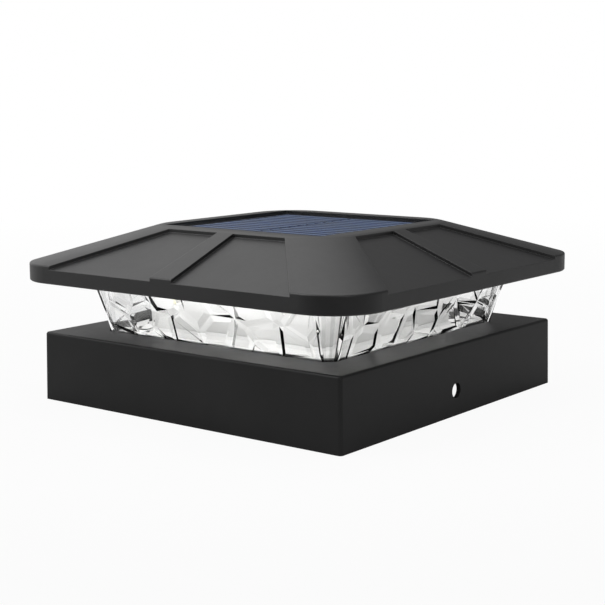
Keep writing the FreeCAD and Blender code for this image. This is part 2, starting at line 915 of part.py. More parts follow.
def switch_body():
    cavity_x = (slider_length + switch_travel) / 2 + switch_gap
    cavity_y = slider_width / 2 + switch_gap
    half_x = cavity_x + switch_wall
    half_y = cavity_y + switch_wall
    body = block(-half_x, half_x, switch_y - half_y, switch_y + half_y, well_high, board_low)
    top = well_high + slider_height + 2 * switch_gap
    return body.cut(block(-cavity_x, cavity_x, switch_y - cavity_y, switch_y + cavity_y, well_high - 1, top))


def switch_slider():
    """Slider with a ridged knob that reaches down into the well, at the -X end of its travel."""
    x = -switch_travel / 2
    low = well_high + switch_gap
    half_y = slider_width / 2
    root = block(x - slider_length / 2, x + slider_length / 2, switch_y - half_y, switch_y + half_y,
                 low, low + slider_height)
    knob_low = plate_low + knob_inset
    knob = block(x - knob_length / 2, x + knob_length / 2, switch_y - knob_width / 2,
                 switch_y + knob_width / 2, knob_low, low + slider_height / 2)
    grooves = []
    for step in (-1, 0, 1):
        groove_x = x + step * knob_length / 3
        grooves.append(block(groove_x - knob_groove, groove_x + knob_groove, switch_y - knob_width,
                             switch_y + knob_width, knob_low - 1, knob_low + knob_groove))
    return fused(root, [knob]).cut(grooves)


# --- control board ---

def control_board():
    half_x = board_length / 2
    half_y = board_width / 2
    board = block(-half_x, half_x, board_y - half_y, board_y + half_y, board_low, board_high)
    holes = []
    for side in (-1, 1):
        radius = board_screw_radius + screw_hole_gap
        holes.append(rod(side * standoff_x, standoff_y, board_low - 1, board_high + 1, radius))
    return board.cut(holes)


def controller_chip():
    half_x = chip_length / 2
    half_y = chip_width / 2
    chip = block(-half_x, half_x, board_y - half_y, board_y + half_y, board_high, board_high + chip_height)
    top = [edge for edge in chip.Edges if edge.BoundBox.ZMin > board_high + chip_height / 2]
    return chip.makeChamfer(chip_height / 5, top)


def capacitor():
    x = board_length / 4
    can = rod(x, board_y, board_high, board_high + can_height, can_radius)
    rim = [edge for edge in can.Edges if edge.BoundBox.ZMin > board_high + can_height / 2]
    return can.makeChamfer(can_radius / 6, rim)


def inductor():
    """Drum core: two flanges on a waist."""
    x = -board_length / 4
    wide = core_flange_radius
    narrow = core_waist_radius
    lip = core_height * 0.18
    neck = core_height * 0.26
    profile = [
        (0, 0), (wide, 0), (wide, lip), (narrow, neck),
        (narrow, core_height - neck), (wide, core_height - lip), (wide, core_height), (0, core_height),
    ]
    points = [Vector(x + across, board_y, board_high + along) for across, along in profile]
    face = Part.Face(Part.makePolygon(points + points[:1]))
    return face.revolve(Vector(x, board_y, 0), Vector(0, 0, 1), 360)


# --- wires ---

def wire(points, radius, bend):
    """Round wire along straight runs joined by tangent arcs."""
    edges = []
    last = points[0]
    for before, corner, after in zip(points, points[1:], points[2:]):
        back = (before - corner).normalize()
        on = (after - corner).normalize()
        half_turn = (math.pi - back.getAngle(on)) / 2
        cut = bend * math.tan(half_turn)
        start = corner + back * cut
        end = corner + on * cut
        inward = (back + on).normalize()
        middle = corner + inward * (bend / math.cos(half_turn) - bend)
        edges.append(Part.LineSegment(last, start).toShape())
        edges.append(Part.Arc(start, middle, end).toShape())
        last = end
    edges.append(Part.LineSegment(last, points[-1]).toShape())
    path = Part.Wire(edges)
    direction = points[1] - points[0]
    ring = Part.Wire(Part.Circle(points[0], direction, radius).toShape())
    return path.makePipeShell([ring], True, False)


def panel_lead(side):
    x = side * panel_wire_x
    end_y = board_y + board_width / 4
    drop = pocket_under - board_high
    high = pocket_under - drop / 3
    low = board_high + drop / 4
    return wire([
        Vector(x, panel_wire_y, board_panel_low),
        Vector(x, panel_wire_y, high),
        Vector(x, end_y, low),
        Vector(x, end_y, board_high),
    ], wire_radius, wire_bend)


def battery_lead(side):
    tab = cavity_half_length - contact_thickness
    x = side * (board_length / 2 - 3)
    y = board_y - board_width / 4
    z = holder_high + contact_tab_rise / 2
    return wire([
        Vector(side * tab, battery_y, z),
        Vector(x, battery_y, z),
        Vector(x, y, z),
        Vector(x, y, board_high),
    ], wire_radius, wire_bend)


def led_lead():
    x = board_length / 3
    y = board_y + board_width / 3
    inner = reflector_inner - led_board_thickness
    run_height = board_high + 1.25 * wire_bend
    return wire([
        Vector(x, y, board_high),
        Vector(x, y, run_height),
        Vector(x, inner, run_height),
    ], wire_radius, wire_bend)


def led_jumpers():
    """Straight wires across the corners, from each lamp board to the next."""
    start = led_board_length / 2 - jumper_radius
    line = reflector_inner - led_board_thickness / 2
    place = Vector(start, -line, lamp_height)
    run = Vector(line - start, line - start, 0)
    jumper = Part.makeCylinder(jumper_radius, run.Length, place, run).cut([led_board(0), led_board(1)])
    return Part.makeCompound([turned(jumper, quarter) for quarter in range(3)])


parts = {
    "base_sleeve": base_sleeve(),
    "lens_seal": lens_seal(),
    "lens_ring": lens_ring(),
    "roof_seal": roof_seal(),
    "roof_cover": roof_cover(),
    "panel_adhesive": panel_adhesive(),
    "panel_board": panel_board(),
    "solar_cells": solar_cells(),
    "panel_cover": panel_cover(),
    "inner_reflector": inner_reflector(),
    "battery_holder": battery_holder(),
    "battery_cell": battery_cell(),
    "contact_negative": contact(-1),
    "contact_positive": contact(1),
    "battery_lid": battery_lid(),
    "lid_seal": lid_seal(),
    "lid_screws": lid_screws(),
    "housing_screws": housing_screws(),
    "board_screws": board_screws(),
    "switch_body": switch_body(),
    "switch_slider": switch_slider(),
    "control_board": control_board(),
    "controller_chip": controller_chip(),
    "capacitor": capacitor(),
    "inductor": inductor(),
    "panel_lead_red": panel_lead(1),
    "panel_lead_black": panel_lead(-1),
    "battery_lead_red": battery_lead(1),
    "battery_lead_black": battery_lead(-1),
    "led_lead": led_lead(),
    "led_jumpers": led_jumpers(),
}
for quarter, side_name in enumerate(("front", "right", "back", "left")):
    parts["led_board_" + side_name] = led_board(quarter)
    parts["led_chips_" + side_name] = led_chips(quarter)

os.makedirs("parts", exist_ok=True)
for name, shape in parts.items():
    shape.exportStep("parts/" + name + ".step")
    print(name, len(shape.Solids), "solids, valid", shape.isValid(), "volume", round(shape.Volume, 1))
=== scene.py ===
"""Looks of a deck post cap light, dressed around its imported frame. Metres, +Z up."""
import json
import logging
import math
import random
from dataclasses import dataclass, field
from enum import Enum
from typing import Callable, Iterable, Optional, Union

import bmesh
import bpy
from mathutils import Matrix, Vector


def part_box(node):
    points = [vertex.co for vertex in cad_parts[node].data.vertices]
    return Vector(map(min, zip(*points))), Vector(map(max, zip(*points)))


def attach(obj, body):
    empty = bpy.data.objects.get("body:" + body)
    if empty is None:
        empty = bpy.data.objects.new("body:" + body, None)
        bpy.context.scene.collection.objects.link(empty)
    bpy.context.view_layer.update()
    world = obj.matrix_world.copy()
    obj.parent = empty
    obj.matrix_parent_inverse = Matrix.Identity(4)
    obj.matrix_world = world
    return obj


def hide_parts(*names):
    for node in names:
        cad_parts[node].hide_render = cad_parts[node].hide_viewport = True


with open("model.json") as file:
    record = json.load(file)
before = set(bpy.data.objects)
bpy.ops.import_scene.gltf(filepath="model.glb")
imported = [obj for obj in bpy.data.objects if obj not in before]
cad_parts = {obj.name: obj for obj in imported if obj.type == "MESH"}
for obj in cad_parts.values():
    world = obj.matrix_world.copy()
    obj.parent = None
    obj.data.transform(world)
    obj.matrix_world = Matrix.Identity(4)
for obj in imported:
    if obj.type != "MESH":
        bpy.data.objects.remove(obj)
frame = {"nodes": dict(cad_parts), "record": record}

log = logging.getLogger("cap_light")
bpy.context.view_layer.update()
MM = 0.001
QUARTERS = 4
QUARTER_TURN = math.pi / 2
TOUCH = 1e-7
SHARP_FROM = math.radians(30)
MIX_INPUTS = (6, 7)
MIX_RESULT = 2
Colour = tuple[float, float, float]
Place = tuple[float, float, float]
Feed = Union[float, int, bool, tuple, Vector, bpy.types.NodeSocket]


class Body(Enum):
    """The bodies that pieces ride on."""

    HOUSING = "housing"
    SWITCH = "switch"
    BATTERY_COVER = "battery_cover"


class Shading(Enum):
    """How a mesh's faces are shaded."""

    FLAT = "flat"
    BY_ANGLE = "by_angle"


# --- node trees ---


@dataclass
class Graph:
    """A short way to add nodes to a tree and join them.

    Args:
        tree: the node tree that is built.
    """

    tree: bpy.types.NodeTree
    column: int = 0

    def add(self, kind: str, settings: Optional[dict] = None, **feeds: Feed) -> bpy.types.Node:
        """Adds a node.

        Args:
            kind: the node's type.
            settings: properties to set on the node.
            feeds: a value or a socket for each input, with _ for a space in its name.

        Returns:
            The new node.
        """
        node = self.tree.nodes.new(kind)
        node.location = (200 * self.column, 0)
        self.column += 1
        for name, value in (settings or {}).items():
            setattr(node, name, value)
        for name, value in feeds.items():
            self.feed(node.inputs[name.replace("_", " ")], value)
        return node

    def feed(self, socket: bpy.types.NodeSocket, value: Feed) -> None:
        """Joins a socket to another, or sets its own value.

        Args:
            socket: the input to feed.
            value: an output socket, a number, or a colour of three numbers.
        """
        if isinstance(value, bpy.types.NodeSocket):
            self.tree.links.new(value, socket)
        elif socket.type == "RGBA":
            socket.default_value = (*value, 1.0)
        else:
            socket.default_value = value

    def maths(self, operation: str, first: Feed, second: Feed = 0.0,
              clamp: bool = False) -> bpy.types.NodeSocket:
        """Adds a Math node.

        Args:
            operation: what the node does.
            first: its first number.
            second: its second number, where it has one.
            clamp: True keeps the answer within 0 and 1.

        Returns:
            The answer's socket.
        """
        node = self.add("ShaderNodeMath", {"operation": operation, "use_clamp": clamp})
        self.feed(node.inputs[0], first)
        self.feed(node.inputs[1], second)
        return node.outputs[0]

    def span(self, value: Feed, low: float, high: float, to_low: Feed = 0.0,
             to_high: Feed = 1.0) -> bpy.types.NodeSocket:
        """Maps a number from one span to another, held at the ends.

        Args:
            value: the number.
            low: where the span starts.
            high: where it ends.
            to_low: the answer at the start.
            to_high: the answer at the end.

        Returns:
            The answer's socket.
        """
        node = self.add("ShaderNodeMapRange", {"clamp": True})
        for index, fed in enumerate((value, low, high, to_low, to_high)):
            self.feed(node.inputs[index], fed)
        return node.outputs[0]

    def blend(self, share: Feed, first: Feed, second: Feed, how: str = "MIX") -> bpy.types.NodeSocket:
        """Mixes two colours.

        Args:
            share: how much of the second colour shows.
            first: the first colour.
            second: the second colour.
            how: the kind of mix.

        Returns:
            The mixed colour's socket.
        """
        node = self.add("ShaderNodeMix", {"data_type": "RGBA", "blend_type": how})
        self.feed(node.inputs[0], share)
        self.feed(node.inputs[MIX_INPUTS[0]], first)
        self.feed(node.inputs[MIX_INPUTS[1]], second)
        return node.outputs[MIX_RESULT]

    def noise(self, scale: Feed, detail: float, rough: float, vector: Feed) -> bpy.types.NodeSocket:
        """Adds a Noise Texture.

        Args:
            scale: its scale.
            detail: how many finer layers it has.
            rough: how strong the finer layers are.
            vector: the place it reads.

        Returns:
            The noise value's socket.
        """
        node = self.add("ShaderNodeTexNoise", Scale=scale, Detail=detail, Roughness=rough, Vector=vector)
        return node.outputs["Fac"]

    def place(self) -> bpy.types.NodeSocket:
        """The Object coordinates of the surface."""
        return self.add("ShaderNodeTexCoord").outputs["Object"]


def group_of(name: str, inputs: dict[str, Feed], outputs: dict[str, str],
             fill: Callable) -> bpy.types.NodeTree:
    """Builds a shader node group once and returns it each time.

    Args:
        name: the group's name.
        inputs: the default value of each input.
        outputs: the socket type of each output.
        fill: called with the graph and the input node, returns a socket for each output.

    Returns:
        The group.
    """
    known = bpy.data.node_groups.get(name)
    if known:
        return known
    tree = bpy.data.node_groups.new(name, "ShaderNodeTree")
    for label, value in inputs.items():
        kind = "NodeSocketColor" if isinstance(value, tuple) else "NodeSocketFloat"
        socket = tree.interface.new_socket(label, in_out="INPUT", socket_type=kind)
        socket.default_value = (*value, 1.0) if isinstance(value, tuple) else value
    for label, kind in outputs.items():
        tree.interface.new_socket(label, in_out="OUTPUT", socket_type=kind)
    graph = Graph(tree)
    entry = graph.add("NodeGroupInput")
    leave = graph.add("NodeGroupOutput")
    for label, socket in fill(graph, entry).items():
        graph.feed(leave.inputs[label], socket)
    return tree


def moulded_grain() -> bpy.types.NodeTree:
    """The group for a moulded surface: a fine spark grain, and a slow drift in how it shines.

    Returns:
        A group that puts out Height for a Bump node, Roughness, and Drift from 0 to 1.
    """

    def fill(graph: Graph, entry: bpy.types.Node) -> dict[str, bpy.types.NodeSocket]:
        place = graph.place()
        fine = graph.noise(entry.outputs["Scale"], detail=2.0, rough=0.6, vector=place)
        drift = graph.noise(38.0, detail=3.0, rough=0.55, vector=place)
        handled = graph.noise(260.0, detail=2.0, rough=0.5, vector=place)
        slow = graph.maths("MULTIPLY", drift, 0.7)
        mean = graph.maths("ADD", slow, graph.maths("MULTIPLY", handled, 0.3))
        swing = graph.maths("MULTIPLY", graph.maths("SUBTRACT", mean, 0.5), entry.outputs["Spread"])
        return {
            "Height": fine,
            "Roughness": graph.maths("ADD", entry.outputs["Roughness"], swing, clamp=True),
            "Drift": graph.span(drift, 0.3, 0.7),
        }

    inputs = {"Scale": 5200.0, "Roughness": 0.4, "Spread": 0.2}
    outputs = {label: "NodeSocketFloat" for label in ("Height", "Roughness", "Drift")}
    return group_of("moulded_grain", inputs, outputs, fill)


def worn_edge_and_sheen() -> bpy.types.NodeTree:
    """The group that finds outer edges, where a finish is lighter: partly wear, partly a painted highlight
    along the edge.

    Returns:
        A group that puts out Mask from 0 to 1 and the rounded Normal.
    """

    def fill(graph: Graph, entry: bpy.types.Node) -> dict[str, bpy.types.NodeSocket]:
        round_off = graph.add("ShaderNodeBevel", {"samples": 6}, Radius=entry.outputs["Radius"])
        own = graph.add("ShaderNodeNewGeometry")
        dot = graph.add("ShaderNodeVectorMath", {"operation": "DOT_PRODUCT"})
        graph.feed(dot.inputs[0], round_off.outputs[0])
        graph.feed(dot.inputs[1], own.outputs["Normal"])
        turn = graph.span(dot.outputs["Value"], low=0.999, high=0.86)
        broken = graph.noise(900.0, detail=3.0, rough=0.6, vector=graph.place())
        # lighter edges: part wear, part painted highlight
        rubbed_and_sheen = graph.maths("MULTIPLY", turn, graph.span(broken, 0.35, 0.7, to_low=0.45))
        mask = graph.maths("MULTIPLY", rubbed_and_sheen, entry.outputs["Strength"], clamp=True)
        return {"Mask": mask, "Normal": round_off.outputs[0]}

    inputs = {"Radius": 0.0004, "Strength": 0.5}
    outputs = {"Mask": "NodeSocketFloat", "Normal": "NodeSocketVector"}
    return group_of("worn_edge_and_sheen", inputs, outputs, fill)


def settled_dust() -> bpy.types.NodeTree:
    """The group for a faint dust on faces that look up.

    Returns:
        A group that puts out Mask from 0 to 1.
    """

    def fill(graph: Graph, entry: bpy.types.Node) -> dict[str, bpy.types.NodeSocket]:
        own = graph.add("ShaderNodeNewGeometry")
        parts = graph.add("ShaderNodeSeparateXYZ", Vector=own.outputs["Normal"])
        up = graph.span(parts.outputs["Z"], 0.3, 1.0)
        sprinkle = graph.noise(1400.0, detail=4.0, rough=0.7, vector=graph.place())
        settled = graph.maths("MULTIPLY", up, graph.span(sprinkle, 0.52, 0.75, to_low=0.15))
        mask = graph.maths("MULTIPLY", settled, entry.outputs["Strength"], clamp=True)
        return {"Mask": mask}

    return group_of("settled_dust", {"Strength": 0.1}, {"Mask": "NodeSocketFloat"}, fill)


# --- finishes ---


@dataclass(frozen=True)
class Finish:
    """A surface finish that becomes one material.

    Args:
        name: the material's name.
    """

    name: str

    def material(self) -> bpy.types.Material:
        """The finish's material, built the first time."""
        known = bpy.data.materials.get(self.name)
        if known:
            return known
        made = bpy.data.materials.new(self.name)
        made.use_nodes = True
        made.node_tree.nodes.clear()
        graph = Graph(made.node_tree)
        out = graph.add("ShaderNodeOutputMaterial")
        graph.feed(out.inputs["Surface"], self.surface(graph))
        return made

    def surface(self, graph: Graph) -> bpy.types.NodeSocket:
        """Builds the shader and returns its socket."""
        raise NotImplementedError


@dataclass(frozen=True)
class Moulded(Finish):
    """Moulded plastic or rubber with a fine grain, drifting gloss, and lighter edges that are partly wear
    and partly a painted highlight.

    Args:
        colour: the body colour.
        pale: the colour that the dust and the edges' wear and painted highlight go towards.
        roughness: how matt it is.
        spread: how much the gloss drifts.
        shaded: share of the colour that is left where the gloss is low.
        grain: scale of the fine grain.
        depth: strength of the fine grain.
        relief: height of the fine grain.
        edge: how much the edges are lightened, as wear and as a painted highlight.
        dust: how much dust lies on it.
        specular: how strong the reflections are.
        coat: strength of a clear coat.
    """

    colour: Colour = (0.02, 0.02, 0.02)
    pale: Colour = (0.2, 0.2, 0.2)
    roughness: float = 0.4
    spread: float = 0.15
    shaded: float = 0.82
    grain: float = 5200.0
    depth: float = 0.12
    relief: float = 0.05 * MM
    edge: float = 0.3
    dust: float = 0.03
    specular: float = 0.5
    coat: float = 0.0

    def surface(self, graph: Graph) -> bpy.types.NodeSocket:
        """Builds the shader and returns its socket."""
        grain = graph.add("ShaderNodeGroup", {"node_tree": moulded_grain()})
        for label, value in (("Scale", self.grain), ("Roughness", self.roughness), ("Spread", self.spread)):
            grain.inputs[label].default_value = value
        edge = graph.add("ShaderNodeGroup", {"node_tree": worn_edge_and_sheen()}, Strength=self.edge)
        dust = graph.add("ShaderNodeGroup", {"node_tree": settled_dust()}, Strength=self.dust)
        darker = tuple(self.shaded * part for part in self.colour)
        body = graph.blend(grain.outputs["Drift"], darker, self.colour)
        # the edge mask paints a highlight and wear along the edges
        rubbed_and_sheen = graph.blend(edge.outputs["Mask"], body, self.pale)
        dusty = graph.blend(dust.outputs["Mask"], rubbed_and_sheen, self.pale)
        bump = graph.add("ShaderNodeBump", Strength=self.depth, Distance=self.relief)
        graph.feed(bump.inputs["Height"], grain.outputs["Height"])
        graph.feed(bump.inputs["Normal"], edge.outputs["Normal"])
        shader = graph.add("ShaderNodeBsdfPrincipled", Specular_IOR_Level=self.specular)
        shader.inputs["Coat Weight"].default_value = self.coat
        graph.feed(shader.inputs["Base Color"], dusty)
        graph.feed(shader.inputs["Roughness"], grain.outputs["Roughness"])
        graph.feed(shader.inputs["Normal"], bump.outputs["Normal"])
        return shader.outputs[0]


@dataclass(frozen=True)
class Clear(Finish):
    """Clear moulded plastic that lets the lamps reach what lies behind it.

    Args:
        colour: the tint.
        index: the index of refraction.
        roughness: how much it blurs.
        haze: how many times rougher it is where it is haziest.
        ripple: strength of the faint flow marks.
        relief: height of the flow marks.
        tone: the mesh attribute that holds each facet's painted shade, as how clear it is, if there is one.
        painted_shade_tint: the tint of the painted shade, where a facet's attribute is 0.
    """

    colour: Colour = (1.0, 1.0, 1.0)
    index: float = 1.49
    roughness: float = 0.01
    haze: float = 2.5
    ripple: float = 0.05
    relief: float = 0.2 * MM
    tone: str = ""
    painted_shade_tint: Colour = (0.0, 0.0, 0.0)

    def surface(self, graph: Graph) -> bpy.types.NodeSocket:
        """Builds the shader and returns its socket."""
        place = graph.place()
        flow = graph.noise(120.0, detail=2.0, rough=0.5, vector=place)
        cloud = graph.noise(60.0, detail=3.0, rough=0.6, vector=place)
        haze = graph.span(cloud, 0.3, 0.8, self.roughness, self.roughness * self.haze)
        bump = graph.add("ShaderNodeBump", Strength=self.ripple, Distance=self.relief, Height=flow)
        shader = graph.add("ShaderNodeBsdfPrincipled", IOR=self.index)
        if self.tone:
            # painted shade: the attribute darkens the lens's tint, facet by facet
            painted_shade_clearness = graph.add("ShaderNodeAttribute", {"attribute_name": self.tone}).outputs["Fac"]
            graph.feed(shader.inputs["Base Color"], graph.blend(painted_shade_clearness, self.painted_shade_tint, self.colour))
        else:
            graph.feed(shader.inputs["Base Color"], self.colour)
        shader.inputs["Transmission Weight"].default_value = 1.0
        graph.feed(shader.inputs["Roughness"], haze)
        graph.feed(shader.inputs["Normal"], bump.outputs["Normal"])
        path = graph.add("ShaderNodeLightPath")
        open_way = graph.add("ShaderNodeBsdfTransparent", Color=self.colour)
        both = graph.add("ShaderNodeMixShader")
        graph.feed(both.inputs[0], path.outputs["Is Shadow Ray"])
        graph.feed(both.inputs[1], shader.outputs[0])
        graph.feed(both.inputs[2], open_way.outputs[0])
        return both.outputs[0]


@dataclass(frozen=True)
class Resin(Finish):
    """A thin clear resin over the cells: nearly all see-through, with a faint shine.

    Args:
        veil: how much of the resin's own shine shows.
        roughness: how much it blurs.
        haze: how many times rougher it is where it is haziest.
        deep: its tint where it is clearest.
        pale: its tint where it is cloudy.
    """

    veil: float = 0.06
    roughness: float = 0.12
    haze: float = 2.0
    deep: Colour = (0.02, 0.03, 0.05)
    pale: Colour = (0.035, 0.045, 0.07)

    def surface(self, graph: Graph) -> bpy.types.NodeSocket:
        """Builds the shader and returns its socket."""
        flow = graph.noise(55.0, detail=3.0, rough=0.6, vector=graph.place())
        haze = graph.span(flow, 0.3, 0.8, self.roughness, self.roughness * self.haze)
        shader = graph.add("ShaderNodeBsdfPrincipled", Alpha=self.veil)
        graph.feed(shader.inputs["Base Color"], graph.blend(flow, self.deep, self.pale))
        graph.feed(shader.inputs["Roughness"], haze)
        return shader.outputs[0]


@dataclass(frozen=True)
class Silicon(Finish):
    """A solar cell: dark blue crystal with a pale metal line along each strip and fine fingers across it.

    Args:
        deep: the colour between the crystals' lights.
        bright: the colour of the crystals that catch the light.
        line: the colour of the metal line.
        strips: how many strips lie along Y.
        gap: the gap between two strips.
        share: the part of a strip that its line takes.
        edge: how softly the line ends, as a part of a strip.
        covering: how much of the cell the line hides.
        finger_pitch: distance from finger to finger.
        finger_share: the part of the pitch that a finger takes.
        finger_covering: how much of the cell a finger hides.
        specular: how strong the reflections are.
    """

    deep: Colour = (0.005, 0.014, 0.065)
    bright: Colour = (0.012, 0.036, 0.14)
    line: Colour = (0.17, 0.25, 0.38)
    strips: int = 12
    gap: float = 0.5 * MM
    share: float = 0.24
    edge: float = 0.03
    covering: float = 0.85
    finger_pitch: float = 1.6 * MM
    finger_share: float = 0.12
    finger_covering: float = 0.2
    specular: float = 0.12

    def surface(self, graph: Graph) -> bpy.types.NodeSocket:
        """Builds the shader and returns its socket."""
        place = graph.place()
        crystal = graph.add("ShaderNodeTexVoronoi", {"feature": "F1"}, Scale=420.0, Vector=place)
        cloud = graph.noise(90.0, detail=3.0, rough=0.6, vector=place)
        shade = graph.blend(graph.span(cloud, 0.3, 0.7), self.deep, self.bright)
        speckled = graph.blend(0.3, shade, crystal.outputs["Color"], "MULTIPLY")
        parts = graph.add("ShaderNodeSeparateXYZ", Vector=place)
        along = graph.maths("FRACT", graph.maths("DIVIDE", parts.outputs["X"], self.finger_pitch))
        finger = graph.maths("LESS_THAN", along, self.finger_share)
        veiled = graph.maths("MULTIPLY", finger, self.finger_covering)
        fingered = graph.blend(veiled, speckled, self.line)
        lowest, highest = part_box("solar_cells")
        pitch = (highest.y - lowest.y + self.gap) / self.strips
        offset = graph.maths("SUBTRACT", parts.outputs["Y"], lowest.y - self.gap / 2)
        across = graph.maths("FRACT", graph.maths("DIVIDE", offset, pitch))
        middle = graph.maths("ABSOLUTE", graph.maths("SUBTRACT", across, 0.5))
        line = graph.span(middle, self.share / 2, self.share / 2 + self.edge, self.covering, 0.0)
        shader = graph.add("ShaderNodeBsdfPrincipled", Specular_IOR_Level=self.specular)
        graph.feed(shader.inputs["Base Color"], graph.blend(line, fingered, self.line))
        graph.feed(shader.inputs["Roughness"], graph.span(cloud, 0.2, 0.8, 0.3, 0.45))
        return shader.outputs[0]


@dataclass(frozen=True)
class Metal(Finish):
    """Bare or plated metal with fine drawn marks.

    Args:
        colour: the metal's colour.
        roughness: how matt it is.
        swing: the least and most that the roughness is multiplied by.
        shaded: share of the colour that is left where it is dull.
        marks: scale of the drawn marks.
        drawn_out: how much the marks are stretched along Z.
        depth: strength of the marks.
        relief: height of the marks.
    """

    colour: Colour = (0.6, 0.6, 0.6)
    roughness: float = 0.3
    swing: tuple[float, float] = (0.7, 1.4)
    shaded: float = 0.7
    marks: float = 2400.0
    drawn_out: float = 0.08
    depth: float = 0.1
    relief: float = 0.04 * MM

    def surface(self, graph: Graph) -> bpy.types.NodeSocket:
        """Builds the shader and returns its socket."""
        stretch = graph.add("ShaderNodeMapping", Vector=graph.place(), Scale=(1.0, 1.0, self.drawn_out))
        drawn = graph.noise(self.marks, detail=3.0, rough=0.6, vector=stretch.outputs[0])
        dull = graph.noise(300.0, detail=3.0, rough=0.6, vector=stretch.outputs[0])
        darker = tuple(self.shaded * part for part in self.colour)
        least, most = (self.roughness * factor for factor in self.swing)
        shader = graph.add("ShaderNodeBsdfPrincipled", Metallic=1.0)
        tone = graph.blend(graph.span(dull, 0.3, 0.7), darker, self.colour)
        graph.feed(shader.inputs["Base Color"], tone)
        graph.feed(shader.inputs["Roughness"], graph.span(drawn, 0.2, 0.8, least, most))
        bump = graph.add("ShaderNodeBump", Strength=self.depth, Distance=self.relief, Height=drawn)
        graph.feed(shader.inputs["Normal"], bump.outputs[0])
        return shader.outputs[0]


@dataclass(frozen=True)
class Laminate(Finish):
    """A circuit board's lacquer over faint copper tracks.

    Args:
        colour: the lacquer.
        track: the lacquer over copper.
        layout: how the tracks step sideways and stretch.
        tracks: scale of the tracks.
        gap: width of the gaps between tracks.
        depth: strength of the tracks' relief.
        relief: height of the tracks.
    """

    colour: Colour = (0.01, 0.09, 0.04)
    track: Colour = (0.02, 0.17, 0.07)
    layout: tuple[float, float] = (0.37, 1.6)
    tracks: float = 190.0
    gap: float = 0.12
    depth: float = 0.3
    relief: float = 0.04 * MM

    def surface(self, graph: Graph) -> bpy.types.NodeSocket:
        """Builds the shader and returns its socket."""
        step, stretch = self.layout
        bricks = graph.add("ShaderNodeTexBrick", {"offset": step, "squash": stretch}, Scale=self.tracks,
                           Mortar_Size=self.gap)
        graph.feed(bricks.inputs["Vector"], graph.place())
        cloud = graph.noise(150.0, detail=3.0, rough=0.6, vector=graph.place())
        tracks = graph.blend(bricks.outputs["Fac"], self.colour, self.track)
        shader = graph.add("ShaderNodeBsdfPrincipled")
        graph.feed(shader.inputs["Base Color"], tracks)
        graph.feed(shader.inputs["Roughness"], graph.span(cloud, 0.2, 0.8, 0.25, 0.42))
        bump = graph.add("ShaderNodeBump", Strength=self.depth, Distance=self.relief,
                         Height=bricks.outputs["Fac"])
        graph.feed(shader.inputs["Normal"], bump.outputs[0])
        return shader.outputs[0]


@dataclass(frozen=True)
class Lamp(Finish):
    """An unlit lamp: a phosphor layer in a pale package.

    Args:
        phosphor: the colour of the lamp's face.
        shaded: share of that colour that is left where it is deepest.
        coat: strength of its clear coat.
    """

    phosphor: Colour = (0.9, 0.86, 0.62)
    shaded: float = 0.8
    coat: float = 0.6

    def surface(self, graph: Graph) -> bpy.types.NodeSocket:
        """Builds the shader and returns its socket."""
        cloud = graph.noise(700.0, detail=2.0, rough=0.5, vector=graph.place())
        deeper = tuple(self.shaded * part for part in self.phosphor)
        shader = graph.add("ShaderNodeBsdfPrincipled")
        graph.feed(shader.inputs["Base Color"], graph.blend(cloud, deeper, self.phosphor))
        graph.feed(shader.inputs["Roughness"], graph.span(cloud, 0.2, 0.8, 0.3, 0.45))
        shader.inputs["Coat Weight"].default_value = self.coat
        return shader.outputs[0]


class Finishes:
    """Every finish of the product, by the record's slot."""

    BY_SLOT: dict[str, Finish] = {
        "roof_black": Moulded("roof plastic", colour=(0.011, 0.011, 0.0113), roughness=0.4, specular=0.5),
        "base_black": Moulded("base plastic", colour=(0.0155, 0.0155, 0.0157), roughness=0.4, specular=0.2),
        # the lens tint carries painted shade from the ring's face attribute
        "clear_lens": Clear("lens plastic", tone="painted_shade_clearness"),
        "white_plastic": Moulded("reflector plastic", colour=(0.8, 0.8, 0.79), pale=(0.9, 0.9, 0.9),
                                 roughness=0.3, dust=0.0),
        "seal_rubber": Moulded("seal rubber", colour=(0.018, 0.018, 0.018), roughness=0.75,
                               grain=2600.0, depth=0.3),
        "cell_blue": Silicon("solar silicon"),
        "panel_clear": Resin("panel resin"),
        "panel_black": Moulded("panel board", colour=(0.008, 0.009, 0.012), roughness=0.35),
        "adhesive": Moulded("bonding bead", colour=(0.5, 0.5, 0.47), roughness=0.5, edge=0.0, dust=0.0),
        "board_green": Laminate("green laminate"),
        "board_white": Laminate("white laminate", colour=(0.72, 0.72, 0.7), track=(0.8, 0.8, 0.78)),
        "lamp_pale": Lamp("lamp phosphor"),
        "screw_steel": Metal("screw steel", colour=(0.56, 0.56, 0.57), roughness=0.32),
        "contact_nickel": Metal("contact nickel", colour=(0.62, 0.6, 0.56), roughness=0.24),
        "cell_wrap": Moulded("battery sleeve", colour=(0.02, 0.13, 0.05), roughness=0.28,
                             grain=900.0, depth=0.05, coat=0.4),
        "chip_black": Moulded("chip epoxy", colour=(0.02, 0.02, 0.021), roughness=0.6),
        "can_aluminium": Metal("can aluminium", colour=(0.7, 0.7, 0.71), roughness=0.28),
        "core_grey": Moulded("core ferrite", colour=(0.06, 0.06, 0.065), roughness=0.55),
        "wire_red": Moulded("red sleeve", colour=(0.5, 0.02, 0.015), roughness=0.4, dust=0.0, edge=0.0),
        "wire_black": Moulded("black sleeve", colour=(0.015, 0.015, 0.015), roughness=0.4,
                              dust=0.0, edge=0.0),
        "switch_black": Moulded("switch plastic", colour=(0.02, 0.02, 0.02), roughness=0.5),
        "knob_white": Moulded("knob plastic", colour=(0.7, 0.7, 0.68), pale=(0.9, 0.9, 0.9), roughness=0.4),
    }

    @classmethod
    def of_slot(cls, slot: str) -> bpy.types.Material:
        """The material of one of the record's slots."""
        return cls.BY_SLOT[slot].material()


# --- meshes ---


def everything(bm: bmesh.types.BMesh) -> list:
    """Every vertex, edge and face of a bmesh, as the operators take them."""
    return bm.verts[:] + bm.edges[:] + bm.faces[:]


